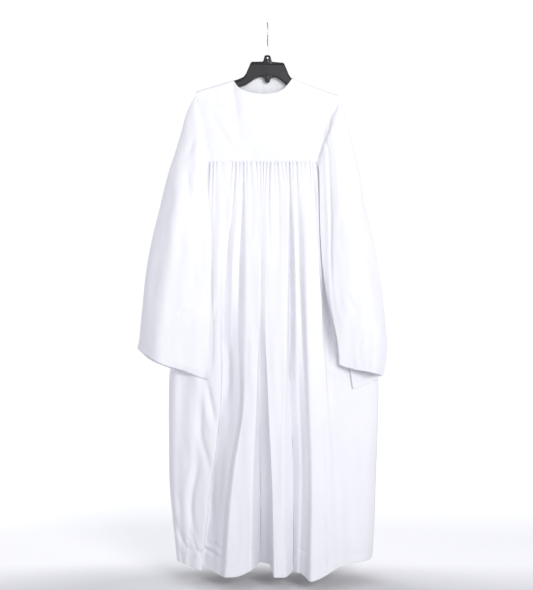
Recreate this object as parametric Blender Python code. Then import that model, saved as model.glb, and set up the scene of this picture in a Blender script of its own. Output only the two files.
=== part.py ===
"""A full-length white christening gown that hangs on a black plastic hanger.

The gown has a plain round-necked yoke, a long skirt gathered onto the yoke, and two wide bell
sleeves. Every cloth piece is a thin wall, so neck, cuffs, armholes and hem are open.
Sizes are in millimetres and become metres when a mesh is made. The origin is where a rail
bears inside the hook, the gown's front faces -Y, +X is to the viewer's right and +Z is up.
"Right" and "left" in names are the wearer's, so the right sleeve is at -X.
"""

import math

import bpy
import numpy as np

MM = 0.001

# Cloth
WALL = 1.5
SEAM_GAP = 0.3
HEM_EXTRA = 0.8

# Heights and seams of the gown
YOKE_SEAM_Z = -288.0
UNDERARM_Z = -302.0
HEM_Z = -1122.0
BACK_CENTRE_X = -10.0
SEAM_OUT = 20.0
SEAM_CORNER_OUT = 17.0
SEAM_CORNER_EASE = 14.0
UNDERARM_CURVE = 1.4
BACK_FLATNESS = 0.86

# Hanger
ARM_HALF_THICK = 4.5
ARM_HALF_SPAN = 142.0
ARM_SLOPE = 0.335
ARM_TOP_AT = (73.0, -121.5)
ARM_HEIGHT = 15.6
HANGER_TILT = -0.03
ARM_CLEARANCE = 0.5
ARM_ROLL_CLEARANCE = 1.1
ARM_TOP_ROUND = 4.4
ARM_BOTTOM_ROUND = 1.6
ARM_END_ROUND = 1.8
ARM_SECTIONS = (60.0, 95.0, 120.0, 136.0, 140.5)
HOOK_WIRE_R = 1.5
HOOK_R = 19.0
HOOK_STEM = 12.0
HOOK_BEND_HANDLES = (9.0, 8.0)
HOOK_BEND_ENDS_AT = -50
HOOK_CURL = (-38, 206, 12)
BOSS_TOP_Z = -66.0

# Hanger's block: distance from the middle, height of its edge there
BLOCK_TOP = (
    (0.0, -66.0), (5.4, -66.0), (6.2, -67.2), (9.2, -77.6), (10.6, -78.6), (32.5, -79.8),
    (35.0, -81.8), (39.5, -92.0), (44.5, -104.0), (49.0, -110.9), (55.0, -114.2), (60.0, -116.6),
)
BLOCK_BOTTOM = (
    (0.0, -122.3), (3.4, -122.0), (4.6, -120.2), (7.4, -112.6), (9.0, -111.2),
    (17.5, -111.4), (27.0, -115.8), (35.0, -121.8), (42.0, -126.8), (52.0, -131.2),
)

# Top edge of the yoke: the neckline, from its right corner round to its left one
FRONT_NECK = (
    (-72.0, -117.8), (-71.3, -118.5), (-70.0, -120.7), (-67.5, -125.0), (-63.0, -131.5),
    (-56.0, -137.8), (-47.0, -142.2), (-29.0, -147.2), (-8.0, -149.0), (15.5, -146.6),
    (29.5, -141.0), (36.0, -136.3), (41.0, -130.5), (46.0, -124.0), (49.5, -118.6),
    (52.0, -114.4), (53.5, -113.2),
)
BACK_NECK = (
    (-72.0, -117.8), (-70.5, -117.2), (-68.5, -116.6), (-65.0, -116.0), (-50.0, -110.0),
    (-30.0, -105.0), (-10.0, -103.5), (10.0, -104.2), (30.0, -106.6), (45.0, -110.4),
    (49.5, -111.7), (52.0, -112.6), (53.5, -113.2),
)
FRONT_NECK_DROP_OUT = 9.0
FRONT_NECK_DROP_REACH = 32.0
BACK_NECK_OUT = 1.65
BACK_NECK_REACH = 20.0

# Armhole edges of the yoke: height, place across
ARMHOLE_TOP_X = 150.0
RIGHT_ARMHOLE = (
    (-142.0, -150.0), (-149.5, -149.5), (-165.0, -144.5), (-190.0, -139.0),
    (-232.0, -132.5), (-288.0, -123.0),
)
LEFT_ARMHOLE = (
    (-147.0, 150.0), (-152.0, 149.5), (-162.0, 145.0), (-178.0, 135.0),
    (-213.0, 123.5), (-248.0, 112.5), (-288.0, 102.0),
)
RIGHT_SHOULDER_X = (-150.0, -142.0, -128.0, -110.0, -92.0, -79.0)
LEFT_SHOULDER_X = (60.0, 74.0, 93.0, 114.0, 132.0, 144.0, 150.0)
YOKE_DROPS = (0.0, 0.7, 2.8, 6.6, 14.0)
YOKE_SHARES = (0.16, 0.36, 0.58, 0.8, 1.0)

# Skirt: heights of the levels at which each fold's place is given
SKIRT_LEVELS = (YOKE_SEAM_Z, -370.0, -490.0, -620.0, -760.0, -930.0, HEM_Z)
SKIRT_DROPS = (
    0.0, 3.0, 9.0, 20.0, 40.0, 72.0, 120.0, 185.0, 255.0, 332.0, 410.0, 490.0, 580.0, 690.0,
    803.0, 805.0, 834.0,
)
# Each fold of the front: its place across at the seven levels, then how far out it stands
# at the six levels below the yoke seam
FRONT_FOLDS = (
    ("side right", (-130.0, -147, -166, -184, -206, -205, -188), (0.15,) * 6),
    ("side ridge", (-126.4, -138, -150, -163, -180, -184, -177), (12, 14, 16, 28, 40, 50)),
    ("valley 1", (-120.5, -124, -116, -120, -139, -153, -165), (21, 22, 22, 25, 29, 34)),
    ("ridge 1", (-95.8, -95, -97, -99, -119, -127, -136), (27, 34, 39, 46, 58, 70)),
    ("valley 2", (-65.0, -71, -77, -84, -87, -113, -127), (25, 27, 28, 31, 40, 56)),
    ("hump 2", (-58.7, -63, -67, -75, -78, -103, -117), (27, 30, 30, 32, 41, 57)),
    ("valley 3", (-50.5, -54, -58, -66, -69, -87, -102), (26, 28, 29, 33, 46, 60)),
    ("ridge 2", (-44.3, -42, -44, -45, -45, -69, -90), (31, 44, 57, 70, 86, 98)),
    ("ridge 3", (-23.7, -21, -21, -21, -19, -25, -23), (32, 46, 60, 74, 92, 104)),
    ("valley 4", (-15.5, -11, -11, -11, -9, -7, -5), (31, 42, 44, 47, 52, 58)),
    ("ridge 4", (-2.5, -3, -1, 2, 7, 11, 15), (32, 48, 62, 77, 94, 106)),
    ("ridge 5", (36.0, 34, 36, 39, 43, 44, 48), (32, 48, 64, 81, 99, 112)),
    ("valley 5", (42.2, 44, 48, 49, 50, 56, 59), (28, 34, 38, 46, 60, 74)),
    ("ridge 6", (48.4, 52, 58, 59, 59, 66, 69), (30, 40, 47, 54, 66, 82)),
    ("valley 6", (58.7, 61, 69, 71, 70, 80, 78), (28, 32, 35, 42, 58, 78)),
    ("ridge 7", (69.0, 75, 78, 78, 81, 86, 84), (31, 44, 58, 76, 99, 118)),
    ("ridge 8", (91.7, 95, 101, 105, 110, 111, 114), (29, 38, 50, 64, 82, 96)),
    ("valley 7", (99.0, 102, 108, 114, 124, 135, 142), (22, 22, 25, 34, 52, 66)),
    ("side swell", (105.6, 117, 129, 145, 170, 179, 181), (14, 15, 17, 27, 43, 56)),
    ("side left", (109.4, 132, 157, 186, 232, 227, 217), (0.15,) * 6),
)
# The front's fine gathers: each valley's place on the yoke seam and how far down it reaches
FRONT_GATHERS = (
    (-120.5, 90), (-112.3, 150), (-106.0, 60), (-95.8, 26), (-73.0, 70), (-65.0, 420),
    (-58.7, 110), (-50.5, 300), (-44.3, 60), (-38.0, 170), (-23.7, 80), (-15.5, 240),
    (-8.8, 110), (-2.5, 60), (5.2, 190), (13.4, 120), (19.6, 70), (27.8, 150), (36.0, 60),
    (42.2, 260), (48.4, 90), (58.7, 300), (69.0, 70), (75.2, 120), (85.5, 80), (91.7, 60),
    (99.0, 200),
)
BACK_FOLDS = (
    ("side right", (-130.0, -147, -166, -184, -206, -205, -188), (0.15,) * 6),
    ("side swell", (-126.4, -135, -148, -160, -182, -184, -172), (13, 15, 17, 20, 26, 32)),
    ("valley 1", (-117.0, -118, -124, -130, -146, -150, -140), (17, 18, 19, 20, 24, 28)),
    ("ridge 1", (-99.0, -99, -104, -108, -120, -126, -118), (24, 30, 37, 44, 54, 62)),
    ("valley 2", (-81.0, -80, -82, -84, -92, -98, -92), (20, 22, 24, 27, 33, 40)),
    ("ridge 2", (-63.0, -60, -60, -60, -64, -70, -68), (26, 34, 42, 51, 62, 72)),
    ("valley 3", (-45.0, -42, -41, -40, -42, -46, -44), (22, 25, 27, 30, 36, 42)),
    ("ridge 3", (-28.0, -24, -22, -19, -18, -20, -17), (27, 36, 45, 55, 67, 78)),
    ("valley 4", (-10.0, -7, -3, 1, 5, 5, 9), (23, 26, 28, 31, 38, 44)),
    ("ridge 4", (10.0, 12, 17, 22, 30, 32, 36), (27, 36, 46, 56, 69, 80)),
    ("valley 5", (28.0, 31, 36, 43, 54, 58, 61), (22, 25, 28, 31, 38, 45)),
    ("ridge 5", (46.0, 50, 57, 66, 80, 85, 87), (26, 34, 43, 52, 64, 75)),
    ("valley 6", (64.0, 68, 77, 88, 106, 112, 113), (20, 23, 25, 28, 35, 41)),
    ("ridge 6", (82.0, 88, 100, 114, 136, 142, 141), (23, 29, 36, 44, 55, 64)),
    ("valley 7", (98.0, 105, 120, 137, 165, 170, 166), (17, 18, 20, 22, 27, 32)),
    ("side swell 2", (105.6, 119, 140, 164, 203, 204, 196), (13, 15, 17, 19, 24, 30)),
    ("side left", (109.4, 132, 157, 186, 232, 227, 217), (0.15,) * 6),
)
BACK_GATHER_COUNT = 24
# The hem's height along the front and back: place across, height above the hem line
FRONT_HEM_LIFT = (
    (-190, 2.0), (-165, -5.0), (-130, -7.5), (-90, -7.5), (-40, -5.0), (-8, 1.0), (20, -2.0),
    (50, -4.0), (84, -8.0), (114, -5.0), (150, 0.5), (182, 3.0), (218, 6.0),
)
BACK_HEM_LIFT = ((-190, 2.0), (-120, 0.0), (0, 3.0), (120, 1.0), (218, 6.0))
GATHER_HEIGHT = 2.1
GATHER_AT_SEAM = 0.22
GATHER_START = 8.0
GATHER_FADE = 1.3
GATHER_CREST = 0.5
GATHER_FULL_PITCH = 8.0
BACK_GATHER_SWAY = 1.1
BACK_GATHER_REACH = (120.0, 70.0)

# Sleeves: each line runs from the armhole to the cuff; the last two stations bound the hem
RIGHT_SLEEVE = {
    "outer": (
        (-150.3, 0, -149.5), (-168, -4, -186), (-188, -9, -258), (-211, -14, -336),
        (-242, -19, -471), (-256, -22, -570), (-266, -25, -663), (-268, -26, -675),
    ),
    "ridge": (
        (-139.3, -14, -190), (-154, -24, -235), (-169, -36, -312), (-188, -48, -373),
        (-209, -60, -492), (-220, -66, -585), (-225, -70, -677), (-224, -70, -689),
    ),
    "panel": (
        (-132.8, -17, -232), (-140, -29, -275), (-146, -42, -345), (-152, -51, -420),
        (-165, -58, -528), (-170, -62, -618), (-176, -64, -700), (-180, -62, -711),
    ),
    "lip": (
        (-123.4, -19.0, -286.5), (-124, -31, -313), (-122, -41, -374), (-119, -47, -452),
        (-116, -52, -560), (-113, -54, -643), (-121, -56, -718), (-125, -54, -730),
    ),
    "tip": (
        (-133.0, 0, -301.2), (-141, -15, -322), (-118.5, -37, -392), (-114, -44, -466),
        (-111, -48, -572), (-107.5, -50, -655), (-116, -51, -723.5), (-120.5, -50, -734.5),
    ),
    "under": (
        (-123.4, 14.8, -286.6), (-145, -4, -309), (-137, -25, -397), (-133, -34, -470),
        (-129, -39, -578), (-127, -42, -662), (-134, -43, -728), (-138, -42, -739),
    ),
    "back": (
        (-131.5, 14.5, -238), (-152, 6, -262), (-162, -10, -332), (-176, -22, -407),
        (-190, -30, -527), (-197, -33, -620), (-198.5, -35, -705), (-200, -35, -717),
    ),
    "heel": (
        (-142, 12, -185), (-160, 3, -222), (-178, -6, -290), (-196, -16, -368),
        (-220, -23, -497), (-232, -26, -600), (-238, -29, -699), (-238, -29, -711),
    ),
}
LEFT_SLEEVE = {
    "outer": (
        (150.3, 0, -151.5), (163, -4, -196), (183, -9, -275), (203, -14, -380),
        (227, -19, -496), (242, -23, -610), (247.5, -26, -672), (241.5, -28, -719),
        (239, -29, -730),
    ),
    "ridge": (
        (135.4, -14, -178), (148, -23, -221), (162, -35, -292), (171, -46, -377),
        (182, -55, -457), (202, -62, -560), (214, -66, -655), (212, -66, -706),
        (210, -66, -718),
    ),
    "panel": (
        (123.8, -17, -213), (134, -31, -262), (143, -43, -332), (150, -52, -417),
        (156, -58, -502), (168, -62, -595), (178, -64, -662), (177, -63, -697),
        (176, -62, -709),
    ),
    "lip": (
        (112.8, -18, -248), (118, -35, -300), (123, -46, -368), (126.5, -53, -454),
        (128.5, -56, -537), (138, -58, -622), (143.5, -58, -667), (146.5, -58, -692),
        (147, -57, -704),
    ),
    "tip": (
        (102.4, -21.2, -286.6), (106, -31, -322), (107, -34.5, -398), (109, -36, -480),
        (112.5, -38, -565), (125, -41, -616), (141, -45, -657), (144, -49, -691),
        (144.5, -50, -703),
    ),
    "under": (
        (113.5, -2, -300.6), (122, -18, -325), (124, -29, -400), (127, -31, -482),
        (130, -33, -570), (140, -35, -643), (149, -37, -692), (154.5, -37, -727),
        (157, -36, -739),
    ),
    "back": (
        (102.4, 14.8, -286.6), (134, 5, -281), (147, -12, -347), (158, -23, -437),
        (168, -28, -532), (178, -31, -628), (180, -33, -700), (177.5, -35, -744),
        (176, -34, -756),
    ),
    "heel": (
        (121, 13, -222), (151, 3, -234), (167, -4, -307), (183, -13, -400),
        (200, -20, -499), (215, -24, -606), (220, -28, -690), (213.5, -30, -731),
        (212, -30, -743),
    ),
}
# How many steps a sleeve's ring takes between the points of its front and back layers
FRONT_LAYER_STEPS = (1, 2, 3, 3, 2, 1)
BACK_LAYER_STEPS = (1, 3, 3, 2, 2, 1)
SLEEVE_TOP_STATIONS = (0.0, 0.3, 0.65, 1.0, 1.5)
HEM_STEP = 0.05
FOLD_ROUND = 1.9
TIP_ROUND = 1.14
SLEEVE_CLEARANCE = 4.2
SKIRT_CORNER_INSET = 0.9
SKIRT_SIDE_STEPS = (1.1, 2.3, 5.3)
ARMHOLE_GAP = 0.85
UNDERARM_WRAP = 3.4

# Back opening
PLACKET_WIDTH = 18.0
PLACKET_WALL = 1.2
PLACKET_END_Z = -284.0
PLACKET_LIFT = 0.25
BUTTON_R = 5.5
BUTTON_THICK = 2.4
BUTTON_LIFT = 0.15
BUTTON_Z = (-113.0, -166.0, -219.0)
# A button's turned profile: in from its rim, height above its back
BUTTON_PROFILE = (
    (0.6, 0.0), (0.0, 0.7), (0.0, BUTTON_THICK - 0.5), (0.6, BUTTON_THICK), (1.6, BUTTON_THICK),
    (2.2, BUTTON_THICK - 0.7),
)

WHITE_COTTON = (0.92, 0.92, 0.955, 1.0)
PEARL = (0.93, 0.92, 0.9, 1.0)
BLACK_PLASTIC = (0.035, 0.036, 0.04, 1.0)
BRIGHT_STEEL = (0.75, 0.75, 0.76, 1.0)


def clear_scene():
    for item in list(bpy.data.objects):
        bpy.data.objects.remove(item, do_unlink=True)


def finish_of(name, colour, roughness, metallic=0.0):
    material = bpy.data.materials.new(name)
    material.use_nodes = True
    shader = material.node_tree.nodes["Principled BSDF"]
    shader.inputs["Base Color"].default_value = colour
    shader.inputs["Roughness"].default_value = roughness
    shader.inputs["Metallic"].default_value = metallic
    return material


def through(places, values, at):
    """A smooth curve through the values at the places, which never swings past them."""
    places = np.asarray(places, float)
    values = np.asarray(values, float)
    steps = np.diff(places)
    slopes = np.diff(values) / steps
    product = slopes[:-1] * slopes[1:]
    total = np.where(product > 0, slopes[:-1] + slopes[1:], 1.0)
    inner = np.where(product > 0, 2.0 * product / total, 0.0)
    tangents = np.concatenate([slopes[:1], inner, slopes[-1:]])
    at = np.clip(np.asarray(at, float), places[0], places[-1])
    index = np.clip(np.searchsorted(places, at, side="right") - 1, 0, len(steps) - 1)
    step = steps[index]
    t = (at - places[index]) / step
    start = values[index] * (1 + 2 * t) * (1 - t) ** 2 + tangents[index] * step * t * (1 - t) ** 2
    end = values[index + 1] * t * t * (3 - 2 * t) + tangents[index + 1] * step * t * t * (t - 1)
    return start + end


def table_curve(pairs, at):
    """Reads a table of (place, value) rows, in rising or falling order, as a smooth curve."""
    rows = sorted(pairs)
    return through([row[0] for row in rows], [row[1] for row in rows], at)


def ease(t):
    t = np.clip(t, 0.0, 1.0)
    return t * t * (3 - 2 * t)


def mesh_object(name, points, faces, material):
    mesh = bpy.data.meshes.new(name)
    mesh.from_pydata([tuple(point) for point in np.asarray(points) * MM], [], faces)
    mesh.update()
    thing = bpy.data.objects.new(name, mesh)
    bpy.context.scene.collection.objects.link(thing)
    mesh.materials.append(material)
    mesh.shade_smooth()
    mesh.set_sharp_from_angle(angle=math.radians(40))
    return thing


def normals_of(middle, closed):
    """Unit normals of a grid of points: rows down the cloth, columns along it."""
    if closed:
        along = np.roll(middle, -1, axis=1) - np.roll(middle, 1, axis=1)
    else:
        along = np.gradient(middle, axis=1)
    down = np.gradient(middle, axis=0)
    normal = np.cross(along, down)
    return normal / np.linalg.norm(normal, axis=2, keepdims=True)


def cloth_wall(name, middle, material, out, closed=False, extra=None, wall=WALL):
    """A closed wall of cloth about a grid of middle points.

    out is 1 or -1 and says which way the grid's normals have to be turned to point outwards.
    extra is added to the outer side of each row, for a turned hem. A panel that isn't closed
    round keeps to its own side of the gown's middle plane: behind it for out 1.
    """
    rows, columns = middle.shape[:2]
    normal = normals_of(middle, closed) * out
    extra = np.zeros(rows) if extra is None else extra
    outer = middle + normal * (wall / 2 + extra)[:, None, None]
    inner = middle - normal * wall / 2
    points = np.concatenate([outer.reshape(-1, 3), inner.reshape(-1, 3)])
    if not closed:
        points[:, 1] = out * np.maximum(points[:, 1] * out, SEAM_GAP / 2)
    inside = rows * columns
    faces = []
    spans = columns if closed else columns - 1
    for i in range(rows - 1):
        for j in range(spans):
            k = (j + 1) % columns
            a, b = i * columns + j, i * columns + k
            c, d = b + columns, a + columns
            faces.append((a, b, c, d))
            faces.append((inside + a, inside + d, inside + c, inside + b))
    for j in range(spans):
        k = (j + 1) % columns
        last = (rows - 1) * columns
        faces.append((k, j, inside + j, inside + k))
        faces.append((last + j, last + k, inside + last + k, inside + last + j))
    if not closed:
        for i in range(rows - 1):
            a, d = i * columns, (i + 1) * columns
            b, c = a + columns - 1, d + columns - 1
            faces.append((a, d, inside + d, inside + a))
            faces.append((c, b, inside + b, inside + c))
    if out < 0:
        faces = [face[::-1] for face in faces]
    return mesh_object(name, points, faces, material)


def hanger_top(x):
    """Height of the hanger's top edge, a little lower on the wearer's left."""
    reach, height = ARM_TOP_AT
    away = abs(x)
    rows = BLOCK_TOP + ((reach, height),)
    top = np.interp(away, [row[0] for row in rows], [row[1] for row in rows])
    top -= max(away - reach, 0.0) * ARM_SLOPE
    return float(top) + HANGER_TILT * x


def shoulder_z(x):
    return hanger_top(x) + ARM_CLEARANCE + WALL / 2


def roll_out(drop):
    """How far cloth stands out in front of the arm that it passes over, at a drop below its top."""
    radius = ARM_HALF_THICK + ARM_ROLL_CLEARANCE + WALL / 2
    height = np.clip(radius - drop, 0.0, radius)
    return np.sqrt(np.maximum(radius * radius - height * height, 0.0))


def armhole_x(side, z):
    table = RIGHT_ARMHOLE if side < 0 else LEFT_ARMHOLE
    return table_curve(table, z)


def seam_out(x):
    """How far the yoke seam stands out from the gown's middle plane."""
    right, left = armhole_x(-1, YOKE_SEAM_Z), armhole_x(1, YOKE_SEAM_Z)
    inward = np.minimum(x - right, left - x) / SEAM_CORNER_EASE
    return SEAM_CORNER_OUT + (SEAM_OUT - SEAM_CORNER_OUT) * ease(inward)


def yoke_columns(neck):
    """Top points of the yoke's columns, along one shoulder, the neck and the other shoulder."""
    right = [(x, float(shoulder_z(x)), False) for x in RIGHT_SHOULDER_X]
    left = [(x, float(shoulder_z(x)), False) for x in LEFT_SHOULDER_X]
    return right + [(x, z, True) for x, z in neck] + left


def yoke_grid(columns, facing):
    """Middle points of a yoke: facing is -1 for the front and 1 for the back."""
    right_corner, left_corner = FRONT_NECK[0], FRONT_NECK[-1]
    grid = []
    for x_top, z_top, in_neck in columns:
        side = -1 if x_top < BACK_CENTRE_X else 1
        share = (x_top - BACK_CENTRE_X) / (side * ARMHOLE_TOP_X - BACK_CENTRE_X)
        full = z_top - YOKE_SEAM_Z - SEAM_GAP / 2
        drops = list(YOKE_DROPS)
        drops += [YOKE_DROPS[-1] + (full - YOKE_DROPS[-1]) * part for part in YOKE_SHARES]
        column = []
        for drop in drops:
            z = z_top - drop
            x = BACK_CENTRE_X + share * (float(armhole_x(side, z)) - BACK_CENTRE_X)
            x_seam = BACK_CENTRE_X + share * (float(armhole_x(side, YOKE_SEAM_Z)) - BACK_CENTRE_X)
            last = float(seam_out(x_seam))
            if facing > 0:
                last *= BACK_FLATNESS
            if not in_neck:
                start = float(roll_out(drop))
            elif facing < 0:
                corner = right_corner if x_top < 0 else left_corner
                below = max(corner[1] - z_top, 0.0)
                start = float(roll_out(below + drop))
                start += FRONT_NECK_DROP_OUT * float(ease(below / FRONT_NECK_DROP_REACH))
            else:
                from_corner = min(x_top - right_corner[0], left_corner[0] - x_top)
                start = max(float(roll_out(from_corner)), float(roll_out(drop)))
                start += BACK_NECK_OUT * float(ease(from_corner / BACK_NECK_REACH))
            reach = float(ease(drop / full))
            out = max(start + (last - min(start, last)) * reach, SEAM_GAP / 2)
            column.append((x, facing * out, z))
        grid.append(column)
    return np.array(grid).transpose(1, 0, 2)


def pull_in(grid, amount):
    """Moves the first and last columns of a grid inwards, to leave half a seam's gap."""
    grid = grid.copy()
    grid[:, 0, 0] += amount
    grid[:, -1, 0] -= amount
    return grid


def build_yokes(cotton):
    front = pull_in(yoke_grid(yoke_columns(FRONT_NECK), -1), SEAM_GAP / 2)
    cloth_wall("front_yoke", front, cotton, -1)
    back = pull_in(yoke_grid(yoke_columns(BACK_NECK), 1), SEAM_GAP / 2)
    middle = int(np.argmin(np.abs(back[0, :, 0] - BACK_CENTRE_X)))
    right, left = back[:, : middle + 1].copy(), back[:, middle:].copy()
    right[:, -1, 0] -= SEAM_GAP / 2
    left[:, 0, 0] += SEAM_GAP / 2
    cloth_wall("back_yoke_right", right, cotton, 1)
    cloth_wall("back_yoke_left", left, cotton, 1)
    return back


def build_placket(back, cotton, pearl):
    """A narrow strip over the centre-back opening, with its buttons, made from the yoke's points."""
    middle = int(np.argmin(np.abs(back[0, :, 0] - BACK_CENTRE_X)))
    line = back[::-1, middle]
    lift = WALL / 2 + SEAM_GAP + PLACKET_LIFT + PLACKET_WALL / 2
    heights = np.linspace(float(line[-1, 2]) - 1.0, PLACKET_END_Z, 9)
    rows = []
    for z in heights:
        row = []
        for part in (-0.5, -0.17, 0.17, 0.5):
            x = BACK_CENTRE_X + part * PLACKET_WIDTH
            y = np.interp(z, line[:, 2], line[:, 1])
            row.append((x, y + lift, z))
        rows.append(row)
    cloth_wall("back_placket", np.array(rows), cotton, 1, wall=PLACKET_WALL)
    for number, z in enumerate(BUTTON_Z, start=1):
        y = float(np.interp(z, line[:, 2], line[:, 1])) + lift + PLACKET_WALL / 2
        button(f"button_{number}", BACK_CENTRE_X, y + SEAM_GAP + BUTTON_LIFT, z, pearl)


def button(name, x, y, z, material, sides=16):
    """A flat round button with a raised rim, its face towards +Y."""
    points, faces = [], []
    for inset, out in BUTTON_PROFILE:
        for k in range(sides):
            angle = 2 * math.pi * k / sides
            across, up = (BUTTON_R - inset) * math.cos(angle), (BUTTON_R - inset) * math.sin(angle)
            points.append((x + across, y + out, z + up))
    for ring in range(len(BUTTON_PROFILE) - 1):
        for k in range(sides):
            n = (k + 1) % sides
            a, b = ring * sides + k, ring * sides + n
            faces.append((a, a + sides, b + sides, b))
    faces.append(tuple(range(sides)))
    faces.append(tuple(range(len(points) - 1, len(points) - sides - 1, -1)))
    return mesh_object(name, points, faces, material)


def skirt_columns(folds, gathers):
    """Place of each column on the yoke seam: side, fine valleys, the crests between them, side."""
    valleys = [place for place, _ in gathers]
    right, left = folds[0][1][0], folds[-1][1][0]
    first, last = float(armhole_x(-1, YOKE_SEAM_Z)), float(armhole_x(1, YOKE_SEAM_Z))
    near, mid, far = SKIRT_SIDE_STEPS
    places = [right, right + near, right + mid, folds[1][1][0], right + far, first + SKIRT_CORNER_INSET]
    for here, there in zip(valleys[:-1], valleys[1:]):
        places += [here, (here + there) / 2]
    places += [valleys[-1], last - SKIRT_CORNER_INSET]
    places += [left - far, folds[-2][1][0], left - mid, left - near, left]
    return np.array(places)


def gather_relief(places, gathers, drop):
    """Height of the fine gathers at each column, positive inwards, at a drop below the seam."""
    valleys = np.array([place for place, _ in gathers])
    reach = np.array([length for _, length in gathers], float)
    rise = GATHER_AT_SEAM + (1 - GATHER_AT_SEAM) * ease(drop / GATHER_START)
    strength = GATHER_HEIGHT * rise * np.clip(1 - drop / reach, 0.0, 1.0) ** GATHER_FADE
    relief = np.zeros(len(places))
    for column, place in enumerate(places):
        near = np.argmin(np.abs(valleys - place))
        if abs(valleys[near] - place) < 0.01:
            relief[column] = strength[near]
        elif valleys[0] < place < valleys[-1]:
            after = int(np.searchsorted(valleys, place))
            width = min(1.0, (valleys[after] - valleys[after - 1]) / GATHER_FULL_PITCH)
            relief[column] = -GATHER_CREST * width * (strength[after - 1] + strength[after])
    return relief


def skirt_top_edge(x):
    """How far out and how high the skirt's top edge runs, along the yoke and under the arms."""
    right, left = armhole_x(-1, YOKE_SEAM_Z), armhole_x(1, YOKE_SEAM_Z)
    beyond = np.clip(np.maximum(right - x, x - left), 0.0, None)
    span = np.where(x < 0, right - FRONT_FOLDS[0][1][0], FRONT_FOLDS[-1][1][0] - left)
    share = np.clip(beyond / span, 0.0, 1.0)
    seam = np.where(share > 0, SEAM_CORNER_OUT, seam_out(np.clip(x, right, left)))
    out = np.maximum(seam * np.sqrt(np.clip(1 - share**2, 0.0, 1.0)), SEAM_GAP / 2)
    height = YOKE_SEAM_Z - SEAM_GAP / 2 - (YOKE_SEAM_Z - UNDERARM_Z) * share**UNDERARM_CURVE
    return out, height


def skirt_levels(folds, places, hem_lift, top_out, facing):
    """Each column's points at the skirt's levels, before the fine gathers."""
    knots = [int(np.argmin(np.abs(places - fold[1][0]))) for fold in folds]
    count = len(SKIRT_LEVELS)
    across = np.zeros((count, len(places)))
    out = np.zeros((count, len(places)))
    for level in range(count):
        for k in range(len(folds) - 1):
            start, end = knots[k], knots[k + 1]
            t = (places[start : end + 1] - places[start]) / (places[end] - places[start])
            x0, x1 = folds[k][1][level], folds[k + 1][1][level]
            y0 = folds[k][2][max(level - 1, 0)]
            y1 = folds[k + 1][2][max(level - 1, 0)]
            if k == 0:
                turn = np.sin((1 - t) * math.pi / 2)
                across[level, start : end + 1] = x1 + (x0 - x1) * turn
                out[level, start : end + 1] = y1 + (y0 - y1) * (1 - np.cos((1 - t) * math.pi / 2))
            elif k == len(folds) - 2:
                turn = np.sin(t * math.pi / 2)
                across[level, start : end + 1] = x0 + (x1 - x0) * turn
                out[level, start : end + 1] = y0 + (y1 - y0) * (1 - np.cos(t * math.pi / 2))
            else:
                across[level, start : end + 1] = x0 + (x1 - x0) * t
                out[level, start : end + 1] = y0 + (y1 - y0) * ease(t)
    height = np.repeat(np.array(SKIRT_LEVELS)[:, None], len(places), axis=1)
    across[0] = places
    top_edge, height[0] = skirt_top_edge(places)
    out[0] = np.maximum(top_edge * top_out, SEAM_GAP / 2)
    height[-1] += table_curve(hem_lift, across[-1])
    return across, out * facing, height


def skirt_grid(folds, gathers, hem_lift, top_out, facing):
    places = skirt_columns(folds, gathers)
    across, out, height = skirt_levels(folds, places, hem_lift, top_out, facing)
    levels = YOKE_SEAM_Z - np.array(SKIRT_LEVELS)
    rows = []
    for drop in SKIRT_DROPS:
        relief = gather_relief(places, gathers, drop)
        row = np.empty((len(places), 3))
        for column in range(len(places)):
            row[column, 0] = through(levels, across[:, column], drop)
            row[column, 1] = through(levels, out[:, column], drop)
            row[column, 2] = through(levels, height[:, column], drop)
        row[:, 1] -= relief * facing
        rows.append(row)
    return np.array(rows)


def back_gathers():
    """The back's gather valleys, evenly set with a slight unevenness."""
    first, last = BACK_FOLDS[2][1][0], BACK_FOLDS[-3][1][0]
    pitch = (last - first) / (BACK_GATHER_COUNT - 1)
    rows = []
    for k in range(BACK_GATHER_COUNT):
        inner = 0 < k < BACK_GATHER_COUNT - 1
        sway = BACK_GATHER_SWAY * math.sin(2.4 * k) if inner else 0.0
        usual, varied = BACK_GATHER_REACH
        rows.append((first + k * pitch + sway, usual + varied * math.sin(1.7 * k)))
    return tuple(rows)


def build_skirts(cotton):
    hem = np.array([HEM_EXTRA if drop > SKIRT_DROPS[-3] else 0.0 for drop in SKIRT_DROPS])
    front = skirt_grid(FRONT_FOLDS, FRONT_GATHERS, FRONT_HEM_LIFT, 1.0, -1)
    cloth_wall("front_skirt", front, cotton, -1, extra=hem)
    back = skirt_grid(BACK_FOLDS, back_gathers(), BACK_HEM_LIFT, BACK_FLATNESS, 1)
    cloth_wall("back_skirt", back, cotton, 1, extra=hem)
    return front, back


def layer_points(controls, counts):
    """Points along one layer of a sleeve, through its control points."""
    controls = np.array(controls)
    length = np.concatenate([[0], np.cumsum(np.linalg.norm(np.diff(controls, axis=0), axis=1))])
    places = [0.0]
    for k, count in enumerate(counts):
        places += list(np.linspace(length[k], length[k + 1], count + 1)[1:])
    return np.stack([through(length, controls[:, axis], places) for axis in range(3)], axis=1)


def beside(edge, towards, depth):
    """A point close to a folded edge, on the layer that runs from it."""
    step = towards - edge
    step = step / np.linalg.norm(step) * FOLD_ROUND
    return edge + step + np.array([0.0, depth, 0.0])


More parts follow.
